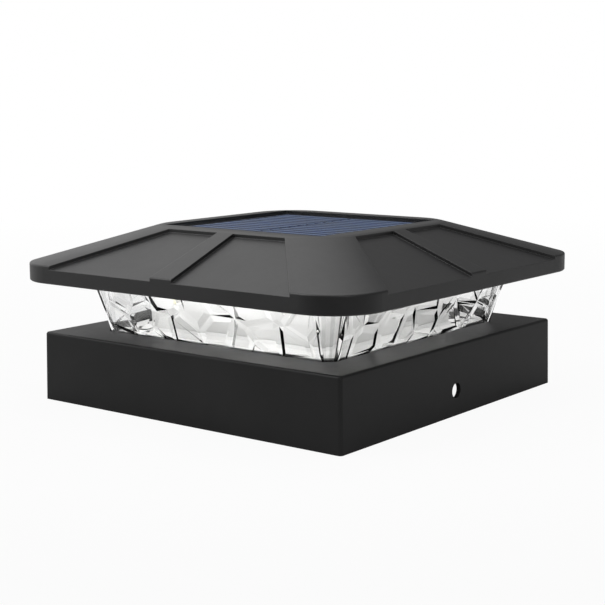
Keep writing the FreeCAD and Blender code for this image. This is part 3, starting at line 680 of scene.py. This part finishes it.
def finished_piece(bm: bmesh.types.BMesh, name: str, slot: str, body: Body,
                   shading: Shading) -> bpy.types.Object:
    """Makes an object of a bmesh and puts it on its body.

    Args:
        bm: the mesh, which is freed.
        name: the piece's name.
        slot: the record's slot that its finish comes from.
        body: the body that it rides on.
        shading: how its faces are shaded.

    Returns:
        The object.
    """
    mesh = bpy.data.meshes.new(name)
    bm.to_mesh(mesh)
    bm.free()
    mesh.materials.append(Finishes.of_slot(slot))
    piece = bpy.data.objects.new(name, mesh)
    bpy.context.scene.collection.objects.link(piece)
    if shading is Shading.BY_ANGLE:
        mesh.shade_smooth()
        mesh.set_sharp_from_angle(angle=SHARP_FROM)
    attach(piece, body.value)
    log.info("%s: %d faces", name, len(mesh.polygons))
    return piece


def join_into(target: bmesh.types.BMesh, source: bmesh.types.BMesh) -> None:
    """Adds a bmesh to another and frees it.

    Args:
        target: the bmesh that grows.
        source: the bmesh that is added.
    """
    carrier = bpy.data.meshes.new("carrier")
    source.to_mesh(carrier)
    source.free()
    target.from_mesh(carrier)
    bpy.data.meshes.remove(carrier)


# --- sub-assemblies ---


@dataclass
class LensRing:
    """The clear tapered ring, with cut-glass facets on its inner faces.

    Args:
        lean: how far each face leans out.
        wall: wall thickness, measured level.
        seat: height of the base's top, where the foot's size is taken.
        foot: half width there.
        leg_foot: leg of the cut corner there.
        leg_top: leg of the cut corner at the top.
        swell: power of the curve by which the corner widens upward.
        steps: shares of the height at which the corner's curve is followed.
        strips: width of each upright strip of a cut corner, and how clear it is, which paints strips of
            shade on the corner.
        flute: how deep the corner's flutes are at the top.
        columns: facets along a face.
        rows: facets up a face.
        row_shift: how far the rows are moved sideways, by turns each way, in shares of the pitch.
        jitter: how far the facets' centres stray, in shares of their pitch.
        nearby: how far a facet's neighbours are looked for, in pitches.
        least_area: area below which a facet stays flat.
        land: width of the sharp edge round a facet.
        slope: the least and most width of a facet's sloped border.
        border_share: the most that the border takes of the facet's size.
        sink: the least and most that a facet's middle is sunk.
        tilt: the most that its middle is turned.
        least_tilt: the least, as a share of that.
        plain_foot: height of the plain, clearest band along the foot.
        painted_shades: how much painted shade a facet may have, picked evenly.
        low_grey: how many times its painted shade a facet has at the foot.
        grey_fall: how much of that is lost up to the top.
        painted_downward_shade: how much more painted shade a facet gets as it turns down.
        darkest: the least that a facet may be left clear by its painted shade.
        facing_out: how squarely a face of the outside looks away from the middle.
        seeds: the seeds of the facets' layout and of how much painted shade each has.
        weld: gap below which two points are one.
        level_gap: gap below which a point lies at a height.
    """

    lean: float = math.radians(18.5)
    wall: float = 2.2 * MM
    seat: float = 27.4 * MM
    foot: float = 57.0 * MM
    leg_foot: float = 3.7 * MM
    leg_top: float = 9.0 * MM
    swell: float = 0.6
    steps: tuple[float, ...] = (0.0, 0.12, 0.4, 1.0)
    strips: tuple[tuple[float, float], ...] = ((0.18, 1.0), (0.14, 0.7), (0.16, 0.88), (0.14, 0.6),
                                               (0.15, 0.8), (0.06, 0.02), (0.17, 1.0))
    flute: float = 0.12 * MM
    columns: int = 8
    rows: int = 2
    row_shift: float = 0.25
    jitter: float = 0.36
    nearby: float = 3.2
    least_area: float = 6 * MM * MM
    land: float = 0.22 * MM
    slope: tuple[float, float] = (1.6 * MM, 3.2 * MM)
    border_share: float = 0.2
    sink: tuple[float, float] = (0.15 * MM, 0.5 * MM)
    tilt: float = math.radians(5.0)
    least_tilt: float = 0.35
    plain_foot: float = 1.5 * MM
    painted_shades: tuple[float, ...] = (0.0, 0.05, 0.16, 0.28, 0.4)
    low_grey: float = 1.15
    grey_fall: float = 0.75
    painted_downward_shade: float = 0.1
    darkest: float = 0.3
    facing_out: float = 0.2
    seeds: tuple[int, int] = (71, 19)
    weld: float = 0.02 * MM
    level_gap: float = 0.01 * MM
    low: float = field(init=False)
    high: float = field(init=False)

    def __post_init__(self) -> None:
        """Reads the ring's heights from the frame."""
        lowest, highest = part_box("lens_ring")
        self.low = lowest.z
        self.high = highest.z

    def half(self, z: float) -> float:
        """Half width of the ring's outside at height z."""
        return self.foot + (z - self.seat) * math.tan(self.lean)

    def leg(self, z: float, inset: float) -> float:
        """Leg of the cut corner at height z, on an outline drawn in by inset."""
        share = max(0.0, (z - self.seat) / (self.high - self.seat))
        own = self.leg_foot + share ** self.swell * (self.leg_top - self.leg_foot)
        return own - inset * (2 - math.sqrt(2))

    def outline(self, bm: bmesh.types.BMesh, z: float) -> list[bmesh.types.BMEdge]:
        """Adds the outside's outline at a height, with shallow flutes across each cut corner.

        Args:
            bm: the mesh.
            z: the height.

        Returns:
            Its edges, in order.
        """
        half = self.half(z)
        flat = half - self.leg(z, 0.0)
        start, end = Vector((flat, -half, z)), Vector((half, -flat, z))
        inward = Vector((-1, 1, 0)).normalized() * self.flute * self.leg(z, 0.0) / self.leg_top
        points = [start]
        share = 0.0
        for index, (width, _) in enumerate(self.strips[:-1]):
            share += width
            points.append(start.lerp(end, share) + inward * (1 if index % 2 else 0))
        points.append(end)
        verts = []
        for quarter in range(QUARTERS):
            turn = Matrix.Rotation(quarter * QUARTER_TURN, 3, "Z")
            verts += [bm.verts.new(turn @ point) for point in points]
        return [bm.edges.new((vert, verts[(index + 1) % len(verts)])) for index, vert in enumerate(verts)]

    def centres(self, chance: random.Random, width: float, height: float) -> list[Vector]:
        """Centres of the facets of one face, and of a row beyond each end.

        Args:
            chance: the seeded source of the jitter.
            width: the face's width.
            height: the face's height.

        Returns:
            The centres, level with the face.
        """
        found = []
        for row in range(-1, self.rows + 1):
            for column in range(-1, self.columns + 1):
                shift = self.row_shift if row % 2 else -self.row_shift
                u = (column + 0.5 + shift + self.jitter * chance.uniform(-1, 1)) / self.columns - 0.5
                v = (row + 0.5 + self.jitter * chance.uniform(-1, 1)) / self.rows
                found.append(Vector((u * width, v * height, 0.0)))
        return found

    def facet(self, chance: random.Random, corners: list[Vector], centre: Vector,
              others: Iterable[Vector]) -> bmesh.types.BMesh:
        """Cuts one facet out of the face, and sinks its middle inside a sloped border.

        Args:
            chance: the seeded source of its depth and tilt.
            corners: the face's corners.
            centre: the facet's centre.
            others: the centres of its neighbours.

        Returns:
            The facet, which may be empty.
        """
        bm = bmesh.new()
        bm.faces.new([bm.verts.new(corner) for corner in corners])
        for other in others:
            bmesh.ops.bisect_plane(bm, geom=everything(bm), dist=TOUCH, plane_co=(centre + other) / 2,
                                   plane_no=other - centre, clear_outer=True)
        slope = chance.uniform(*self.slope)
        sink = chance.uniform(*self.sink)
        axis = Vector((chance.uniform(-1, 1), chance.uniform(-1, 1), 0.0)).normalized()
        angle = chance.uniform(self.least_tilt, 1.0) * self.tilt
        bm.faces.ensure_lookup_table()
        if not bm.faces or bm.faces[0].calc_area() < self.least_area:
            return bm
        face = bm.faces[0]
        border = min(slope, self.border_share * math.sqrt(face.calc_area()))
        bmesh.ops.inset_individual(bm, faces=[face], thickness=self.land, depth=0.0)
        bmesh.ops.inset_individual(bm, faces=[face], thickness=border, depth=0.0)
        turn = Matrix.Rotation(angle, 3, axis)
        bmesh.ops.rotate(bm, cent=face.calc_center_median(), matrix=turn, verts=list(face.verts))
        bmesh.ops.translate(bm, vec=Vector((0, 0, sink * min(1.0, border / slope))), verts=list(face.verts))
        return bm

    def inner_face(self, quarter: int) -> bmesh.types.BMesh:
        """One inner face, cut into facets.

        Args:
            quarter: which of the four faces it is.

        Returns:
            The face in its place.
        """
        chance = random.Random(self.seeds[0] + quarter)
        height = (self.high - self.low) / math.cos(self.lean)
        reach_low = self.half(self.low) - self.wall - self.leg(self.low, self.wall)
        reach_high = self.half(self.high) - self.wall - self.leg(self.high, self.wall)
        corners = [Vector((-reach_low, 0, 0)), Vector((reach_low, 0, 0)),
                   Vector((reach_high, height, 0)), Vector((-reach_high, height, 0))]
        centres = self.centres(chance, 2 * reach_high, height)
        near = self.nearby * max(2 * reach_high / self.columns, height / self.rows)
        whole = bmesh.new()
        for centre in centres:
            others = [other for other in centres if other is not centre and (other - centre).length < near]
            join_into(whole, self.facet(chance, corners, centre, others))
        across = Vector((1, 0, 0))
        up = Vector((0, -math.sin(self.lean), math.cos(self.lean)))
        place = Matrix((across, up, across.cross(up))).transposed().to_4x4()
        place.translation = Vector((0, -self.half(self.low) + self.wall, self.low))
        turn = Matrix.Rotation(quarter * QUARTER_TURN, 4, "Z")
        bmesh.ops.transform(whole, matrix=turn @ place, verts=whole.verts[:])
        return whole

    def outer_skin(self) -> bmesh.types.BMesh:
        """The ring's outside, with the corners' curve and their upright strips."""
        bm = bmesh.new()
        levels = [self.outline(bm, self.low + share * (self.high - self.low)) for share in self.steps]
        for below, above in zip(levels, levels[1:]):
            bmesh.ops.bridge_loops(bm, edges=below + above)
        return bm

    def corner_edges(self, bm: bmesh.types.BMesh) -> list[list[bmesh.types.BMEdge]]:
        """Sorts the open edges that stand beside the inner corners.

        Args:
            bm: the four inner faces.

        Returns:
            The edges, by eighths of a turn.
        """
        level = self.level_edges(bm.edges, self.low) + self.level_edges(bm.edges, self.high)
        sides: list[list] = [[] for _ in range(2 * QUARTERS)]
        for edge in set(bm.edges) - set(level):
            if edge.is_boundary:
                middle = (edge.verts[0].co + edge.verts[1].co) / 2
                turned = math.atan2(middle.y, middle.x) % (QUARTERS * QUARTER_TURN)
                sides[int(turned // (QUARTER_TURN / 2))].append(edge)
        return sides

    def level_edges(self, edges: Iterable[bmesh.types.BMEdge], z: float) -> list[bmesh.types.BMEdge]:
        """Those edges that lie level at height z."""
        return [edge for edge in edges if all(abs(vert.co.z - z) < self.level_gap for vert in edge.verts)]

    def painted_strip_tone(self, middle: Vector) -> float:
        """How clear the outside is at a place, with painted shade: plain on the flat faces, in strips
        across the corners.
        """
        quarter = round(math.atan2(middle.y, middle.x) / QUARTER_TURN + 0.5) % QUARTERS
        local = Matrix.Rotation(-quarter * QUARTER_TURN, 3, "Z") @ middle
        leg = self.leg(middle.z, 0.0)
        share = (local.x - (self.half(middle.z) - leg)) / leg
        if not 0.0 < share < 1.0:
            return 1.0
        for width, tone in self.strips:
            if share < width:
                return tone
            share -= width
        return 1.0

    def paint_shade_tones(self, bm: bmesh.types.BMesh) -> None:
        """Paints shade into how clear each face is: facets that look down and stand low get the most
        painted shade.

        Args:
            bm: the closed ring.
        """
        layer = bm.faces.layers.float.new("painted_shade_clearness")
        chance = random.Random(self.seeds[1])
        for face in bm.faces:
            middle = face.calc_center_median()
            outward = Vector((middle.x, middle.y, 0.0)).normalized()
            if face.normal.dot(outward) > self.facing_out:
                # painted shade in strips across the cut corners
                face[layer] = self.painted_strip_tone(middle)
                continue
            rise = (middle.z - self.low) / (self.high - self.low)
            # painted shade, greyer low down and on facets that turn down
            grey = chance.choice(self.painted_shades) * (self.low_grey - self.grey_fall * rise)
            grey += self.painted_downward_shade * max(0.0, -face.normal.z)
            face[layer] = 1.0 if middle.z < self.low + self.plain_foot else max(self.darkest, 1.0 - grey)

    def build(self) -> bpy.types.Object:
        """Builds the ring in place of the plain one."""
        bm = bmesh.new()
        for quarter in range(QUARTERS):
            join_into(bm, self.inner_face(quarter))
        bmesh.ops.remove_doubles(bm, verts=bm.verts[:], dist=self.weld)
        sides = self.corner_edges(bm)
        for first in range(0, 2 * QUARTERS, 2):
            bmesh.ops.bridge_loops(bm, edges=sides[first] + sides[first + 1])
        join_into(bm, self.outer_skin())
        for z in (self.low, self.high):
            open_rim = [edge for edge in self.level_edges(bm.edges, z) if edge.is_boundary]
            bmesh.ops.triangle_fill(bm, edges=open_rim, use_beauty=True)
        log.info("lens ring: %d open edges", sum(1 for edge in bm.edges if not edge.is_manifold))
        bmesh.ops.recalc_face_normals(bm, faces=bm.faces[:])
        bmesh.ops.bisect_plane(bm, geom=everything(bm), dist=TOUCH, plane_no=(0, 0, 1),
                               plane_co=(0, 0, self.low + self.plain_foot))
        self.paint_shade_tones(bm)
        piece = finished_piece(bm, "cut_lens_ring", "clear_lens", Body.HOUSING, Shading.FLAT)
        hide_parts("lens_ring")
        return piece


@dataclass
class PanelCover:
    """The clear cover cast over the solar cells, clear of the cells' top by a hair.

    Args:
        above_cells: gap over the cells, so that no two faces lie in one place.
        corner: radius of its upright corners.
        round_off: radius of its top edge.
        corner_segments: steps round a corner.
        edge_segments: steps over the top edge.
    """

    above_cells: float = 0.1 * MM
    corner: float = 1.2 * MM
    round_off: float = 0.25 * MM
    corner_segments: int = 5
    edge_segments: int = 3

    def build(self) -> bpy.types.Object:
        """Builds the cover in place of the plain one."""
        lowest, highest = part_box("panel_cover")
        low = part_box("solar_cells")[1].z + self.above_cells
        width = highest.x - lowest.x
        height = highest.z - low
        bm = bmesh.new()
        bmesh.ops.create_cube(bm, size=1.0, matrix=Matrix.Diagonal((width, width, height, 1.0)))
        bmesh.ops.translate(bm, vec=Vector((0, 0, low + height / 2)), verts=bm.verts[:])
        upright = [edge for edge in bm.edges if abs(edge.verts[0].co.z - edge.verts[1].co.z) > height / 2]
        bmesh.ops.bevel(bm, geom=upright, offset=self.corner, offset_type="OFFSET",
                        segments=self.corner_segments, profile=0.5, affect="EDGES", material=-1)
        top = [edge for edge in bm.edges if all(vert.co.z > highest.z - 0.001 * MM for vert in edge.verts)]
        bmesh.ops.bevel(bm, geom=top, offset=self.round_off, offset_type="OFFSET",
                        segments=self.edge_segments, profile=0.5, affect="EDGES", material=-1)
        piece = finished_piece(bm, "cast_panel_cover", "panel_clear", Body.HOUSING, Shading.BY_ANGLE)
        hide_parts("panel_cover")
        return piece


@dataclass
class ReflectorSkirt:
    """The white skirt of the reflector, which lies on the base between the reflector and the lens.

    Known fault: in build, bridge_loops joins the two level outlines of the top to the wrong corners,
    so six faces of the top cross the middle instead of leaving it open.

    Args:
        inner: half width of its opening, just outside the reflector.
        outer: half width of its edge, just inside the lens.
        cut: leg of its cut corners.
        low: height of its underside.
        thickness: how thick it is.
        fillet: how far its inner edge turns up against the reflector.
    """

    inner: float = 43.3 * MM
    outer: float = 54.0 * MM
    cut: float = 3.0 * MM
    low: float = 27.45 * MM
    thickness: float = 0.45 * MM
    fillet: float = 1.2 * MM

    def ring(self, bm: bmesh.types.BMesh, half: float, z: float) -> list[bmesh.types.BMEdge]:
        """Adds a square outline with cut corners.

        Args:
            bm: the mesh.
            half: its half width.
            z: its height.

        Returns:
            Its edges, in order.
        """
        flat = half - self.cut
        verts = []
        for quarter in range(QUARTERS):
            turn = Matrix.Rotation(quarter * QUARTER_TURN, 3, "Z")
            verts += [bm.verts.new(turn @ Vector((side * flat, -half, z))) for side in (-1, 1)]
        return [bm.edges.new((vert, verts[(index + 1) % len(verts)])) for index, vert in enumerate(verts)]

    def build(self) -> bpy.types.Object:
        """Builds the skirt, with the known fault in its top."""
        bm = bmesh.new()
        top = self.low + self.thickness
        stops = ((self.inner, self.low), (self.outer, self.low), (self.outer, top),
                 (self.inner + self.fillet, top), (self.inner, top + self.fillet))
        loops = [self.ring(bm, half, z) for half, z in stops]
        for index, loop in enumerate(loops):
            bmesh.ops.bridge_loops(bm, edges=loop + loops[(index + 1) % len(loops)])
        bmesh.ops.recalc_face_normals(bm, faces=bm.faces[:])
        return finished_piece(bm, "reflector_skirt", "white_plastic", Body.HOUSING, Shading.BY_ANGLE)


@dataclass
class CarriedParts:
    """The parts whose frame meshes show as they are, with their finishes.

    Args:
        left_out: the parts that other classes replace.
    """

    left_out: tuple[str, ...] = ()

    def dress(self) -> None:
        """Puts each part's finish on it."""
        slots = {row["node"]: row["material_slot"] for row in frame["record"]["subparts"]}
        for name, part in frame["nodes"].items():
            if name in self.left_out:
                continue
            part.data.materials.clear()
            part.data.materials.append(Finishes.of_slot(slots[name]))
            log.info("%s carries %s", name, slots[name])


@dataclass
class Studio:
    """The pale floor, the soft lamps, the world and the camera.

    Args:
        azimuth: where the camera stands, from -Y towards +X.
        height: how high it looks down.
        roll: how far it is tipped.
        distance: how far it stands off.
        aim: how far its middle lies to the right of and above the origin.
        focal: focal length in pixels of the picture.
        picture: the picture's width in pixels.
        sensor: the sensor's width in millimetres.
        clip: the least and most distance that the camera sees.
        ambient: the world's level on matt surfaces.
        gloss_way: where reflections see the world brightest.
        gloss_from: how near to that way the brightness starts and is full.
        gloss_levels: the world's level in reflections, away from that way and near it.
        lamps: name, place, width and power of each large lamp.
        glows: power of the small lamp behind each side of the lens, from the front round to the left.
        glow_size: width and height of its face.
        glow_place: where the front one stands.
        glow_target: what the front one points at.
        floor_half: half width of the floor.
        floor_pale: the floor's two colours behind and around the object.
        floor_dark: its colour in front, which keeps its light off the front faces.
        dark_from: how far in front that colour starts and is full.
        floor_shows: how much of the floor's own white shows, near and far.
        white_from: how far out the near share ends and the far share starts.
    """

    azimuth: float = math.radians(38.0466)
    height: float = math.radians(8.8415)
    roll: float = math.radians(-0.3247)
    distance: float = 561.86 * MM
    aim: tuple[float, float] = (0.25 * MM, -36.18 * MM)
    focal: float = 1361.175
    picture: float = 605.0
    sensor: float = 36.0
    clip: tuple[float, float] = (0.01, 20.0)
    ambient: float = 0.7
    gloss_way: Place = (-0.75, -0.1, 0.65)
    gloss_from: tuple[float, float] = (0.5, 0.75)
    gloss_levels: tuple[float, float] = (0.2, 1.05)
    lamps: tuple[tuple[str, Place, float, float], ...] = (
        ("key", (-0.9, -0.9, 1.3), 1.0, 9.0),
        ("fill", (1.1, -0.7, 0.8), 0.9, 3.0),
        ("top", (0.0, 0.2, 1.6), 1.2, 6.0),
    )
    glows: tuple[float, ...] = (0.015, 0.011, 0.014, 0.014)
    glow_size: tuple[float, float] = (0.1, 0.009)
    glow_place: Place = (0.0, -0.053, 0.0485)
    glow_target: Place = (0.0, -0.046, 0.03)
    floor_half: float = 4.0
    floor_pale: tuple[Colour, Colour] = ((0.5, 0.5, 0.5), (0.52, 0.52, 0.52))
    floor_dark: Colour = (0.1, 0.1, 0.1)
    dark_from: tuple[float, float] = (0.14, 0.34)
    floor_shows: tuple[float, float] = (0.94, 1.0)
    white_from: tuple[float, float] = (0.2, 0.8)

    def camera(self) -> None:
        """Sets the camera at the picture's view."""
        back = Vector((math.sin(self.azimuth) * math.cos(self.height),
                       -math.cos(self.azimuth) * math.cos(self.height), math.sin(self.height)))
        level = Vector((math.cos(self.azimuth), math.sin(self.azimuth), 0.0))
        above = back.cross(level)
        right = math.cos(self.roll) * level + math.sin(self.roll) * above
        up = math.cos(self.roll) * above - math.sin(self.roll) * level
        data = bpy.data.cameras.new("camera")
        data.sensor_width = self.sensor
        data.lens = self.focal * self.sensor / self.picture
        data.clip_start, data.clip_end = self.clip
        eye = bpy.data.objects.new("camera", data)
        pose = Matrix((right, up, back)).transposed().to_4x4()
        pose.translation = back * self.distance - right * self.aim[0] - up * self.aim[1]
        eye.matrix_world = pose
        bpy.context.scene.collection.objects.link(eye)
        bpy.context.scene.camera = eye

    def lamp(self, name: str, place: Iterable[float], size: float, watts: float,
             target: Iterable[float] = (0, 0, 0.03), depth: float = 0.0) -> bpy.types.Object:
        """Adds a soft lamp, square or long.

        Args:
            name: the lamp's name.
            place: where it stands.
            size: the width of its face.
            watts: its power.
            target: what it points at.
            depth: the other side of a long lamp's face, or 0 for a square one.

        Returns:
            The lamp.
        """
        data = bpy.data.lights.new(name, "AREA")
        data.size = size
        if depth:
            data.shape = "RECTANGLE"
            data.size_y = depth
        data.energy = watts
        lamp = bpy.data.objects.new(name, data)
        lamp.location = place
        aim = Vector(target) - Vector(place)
        lamp.rotation_euler = aim.to_track_quat("-Z", "Y").to_euler()
        bpy.context.scene.collection.objects.link(lamp)
        return lamp

    def world(self) -> None:
        """Builds a white world, which reflections see bright to the upper left and dim elsewhere."""
        world = bpy.data.worlds.new("studio")
        bpy.context.scene.world = world
        world.use_nodes = True
        world.node_tree.nodes.clear()
        graph = Graph(world.node_tree)
        out = graph.add("ShaderNodeOutputWorld")
        path = graph.add("ShaderNodeLightPath")
        way = graph.add("ShaderNodeTexCoord").outputs["Generated"]
        dot = graph.add("ShaderNodeVectorMath", {"operation": "DOT_PRODUCT"})
        graph.feed(dot.inputs[0], way)
        graph.feed(dot.inputs[1], Vector(self.gloss_way).normalized())
        gloss = graph.span(dot.outputs["Value"], *self.gloss_from, *self.gloss_levels)
        seen = graph.maths("MAXIMUM", path.outputs["Is Camera Ray"], path.outputs["Is Transmission Ray"])
        softly = graph.maths("MULTIPLY", path.outputs["Is Glossy Ray"], gloss)
        lit = graph.maths("MAXIMUM", seen, softly)
        matt = graph.maths("SUBTRACT", 1.0, graph.maths("MAXIMUM", seen, path.outputs["Is Glossy Ray"]))
        level = graph.maths("ADD", lit, graph.maths("MULTIPLY", matt, self.ambient))
        light = graph.add("ShaderNodeBackground", Color=(1.0, 1.0, 1.0), Strength=level)
        graph.feed(out.inputs["Surface"], light.outputs[0])

    def floor(self) -> None:
        """Lays a wide pale floor that keeps the object's shadow."""
        bm = bmesh.new()
        bmesh.ops.create_grid(bm, x_segments=1, y_segments=1, size=self.floor_half)
        mesh = bpy.data.meshes.new("floor")
        bm.to_mesh(mesh)
        bm.free()
        made = bpy.data.materials.new("floor")
        made.use_nodes = True
        made.node_tree.nodes.clear()
        graph = Graph(made.node_tree)
        out = graph.add("ShaderNodeOutputMaterial")
        path = graph.add("ShaderNodeLightPath")
        speck = graph.noise(30.0, detail=3.0, rough=0.6, vector=graph.place())
        nearer = graph.add("ShaderNodeVectorMath", {"operation": "DOT_PRODUCT"})
        graph.feed(nearer.inputs[0], graph.place())
        graph.feed(nearer.inputs[1], Vector((math.sin(self.azimuth), -math.cos(self.azimuth), 0.0)))
        pale = graph.blend(speck, *self.floor_pale)
        tone = graph.blend(graph.span(nearer.outputs["Value"], *self.dark_from), pale, self.floor_dark)
        matt = graph.add("ShaderNodeBsdfDiffuse", Color=tone)
        white = graph.add("ShaderNodeEmission", Color=(1.0, 1.0, 1.0), Strength=1.0)
        both = graph.add("ShaderNodeMixShader")
        through = graph.maths("MAXIMUM", path.outputs["Is Camera Ray"], path.outputs["Is Transmission Ray"])
        apart = graph.add("ShaderNodeVectorMath", {"operation": "LENGTH"})
        graph.feed(apart.inputs[0], graph.place())
        share = graph.span(apart.outputs["Value"], *self.white_from, *self.floor_shows)
        graph.feed(both.inputs[0], graph.maths("MULTIPLY", through, share))
        graph.feed(both.inputs[1], matt.outputs[0])
        graph.feed(both.inputs[2], white.outputs[0])
        graph.feed(out.inputs["Surface"], both.outputs[0])
        mesh.materials.append(made)
        floor = bpy.data.objects.new("floor", mesh)
        bpy.context.scene.collection.objects.link(floor)

    def build(self) -> None:
        """Builds the whole studio."""
        self.world()
        self.floor()
        self.camera()
        for name, place, size, watts in self.lamps:
            self.lamp(name, place, size, watts)
        width, depth = self.glow_size
        for quarter, watts in enumerate(self.glows):
            turn = Matrix.Rotation(quarter * QUARTER_TURN, 3, "Z")
            glow = self.lamp(f"glow_{quarter}", turn @ Vector(self.glow_place), width, watts,
                             turn @ Vector(self.glow_target), depth)
            glow.visible_glossy = False
            glow.visible_transmission = False
        log.info("studio built")


def main() -> None:
    """Builds the object and its studio."""
    logging.basicConfig(level=logging.INFO, format="%(message)s")
    bpy.context.scene.view_settings.view_transform = "Standard"
    CarriedParts(left_out=("lens_ring", "panel_cover")).dress()
    LensRing().build()
    ReflectorSkirt().build()
    PanelCover().build()
    Studio().build()


if __name__ == "__main__":
    main()
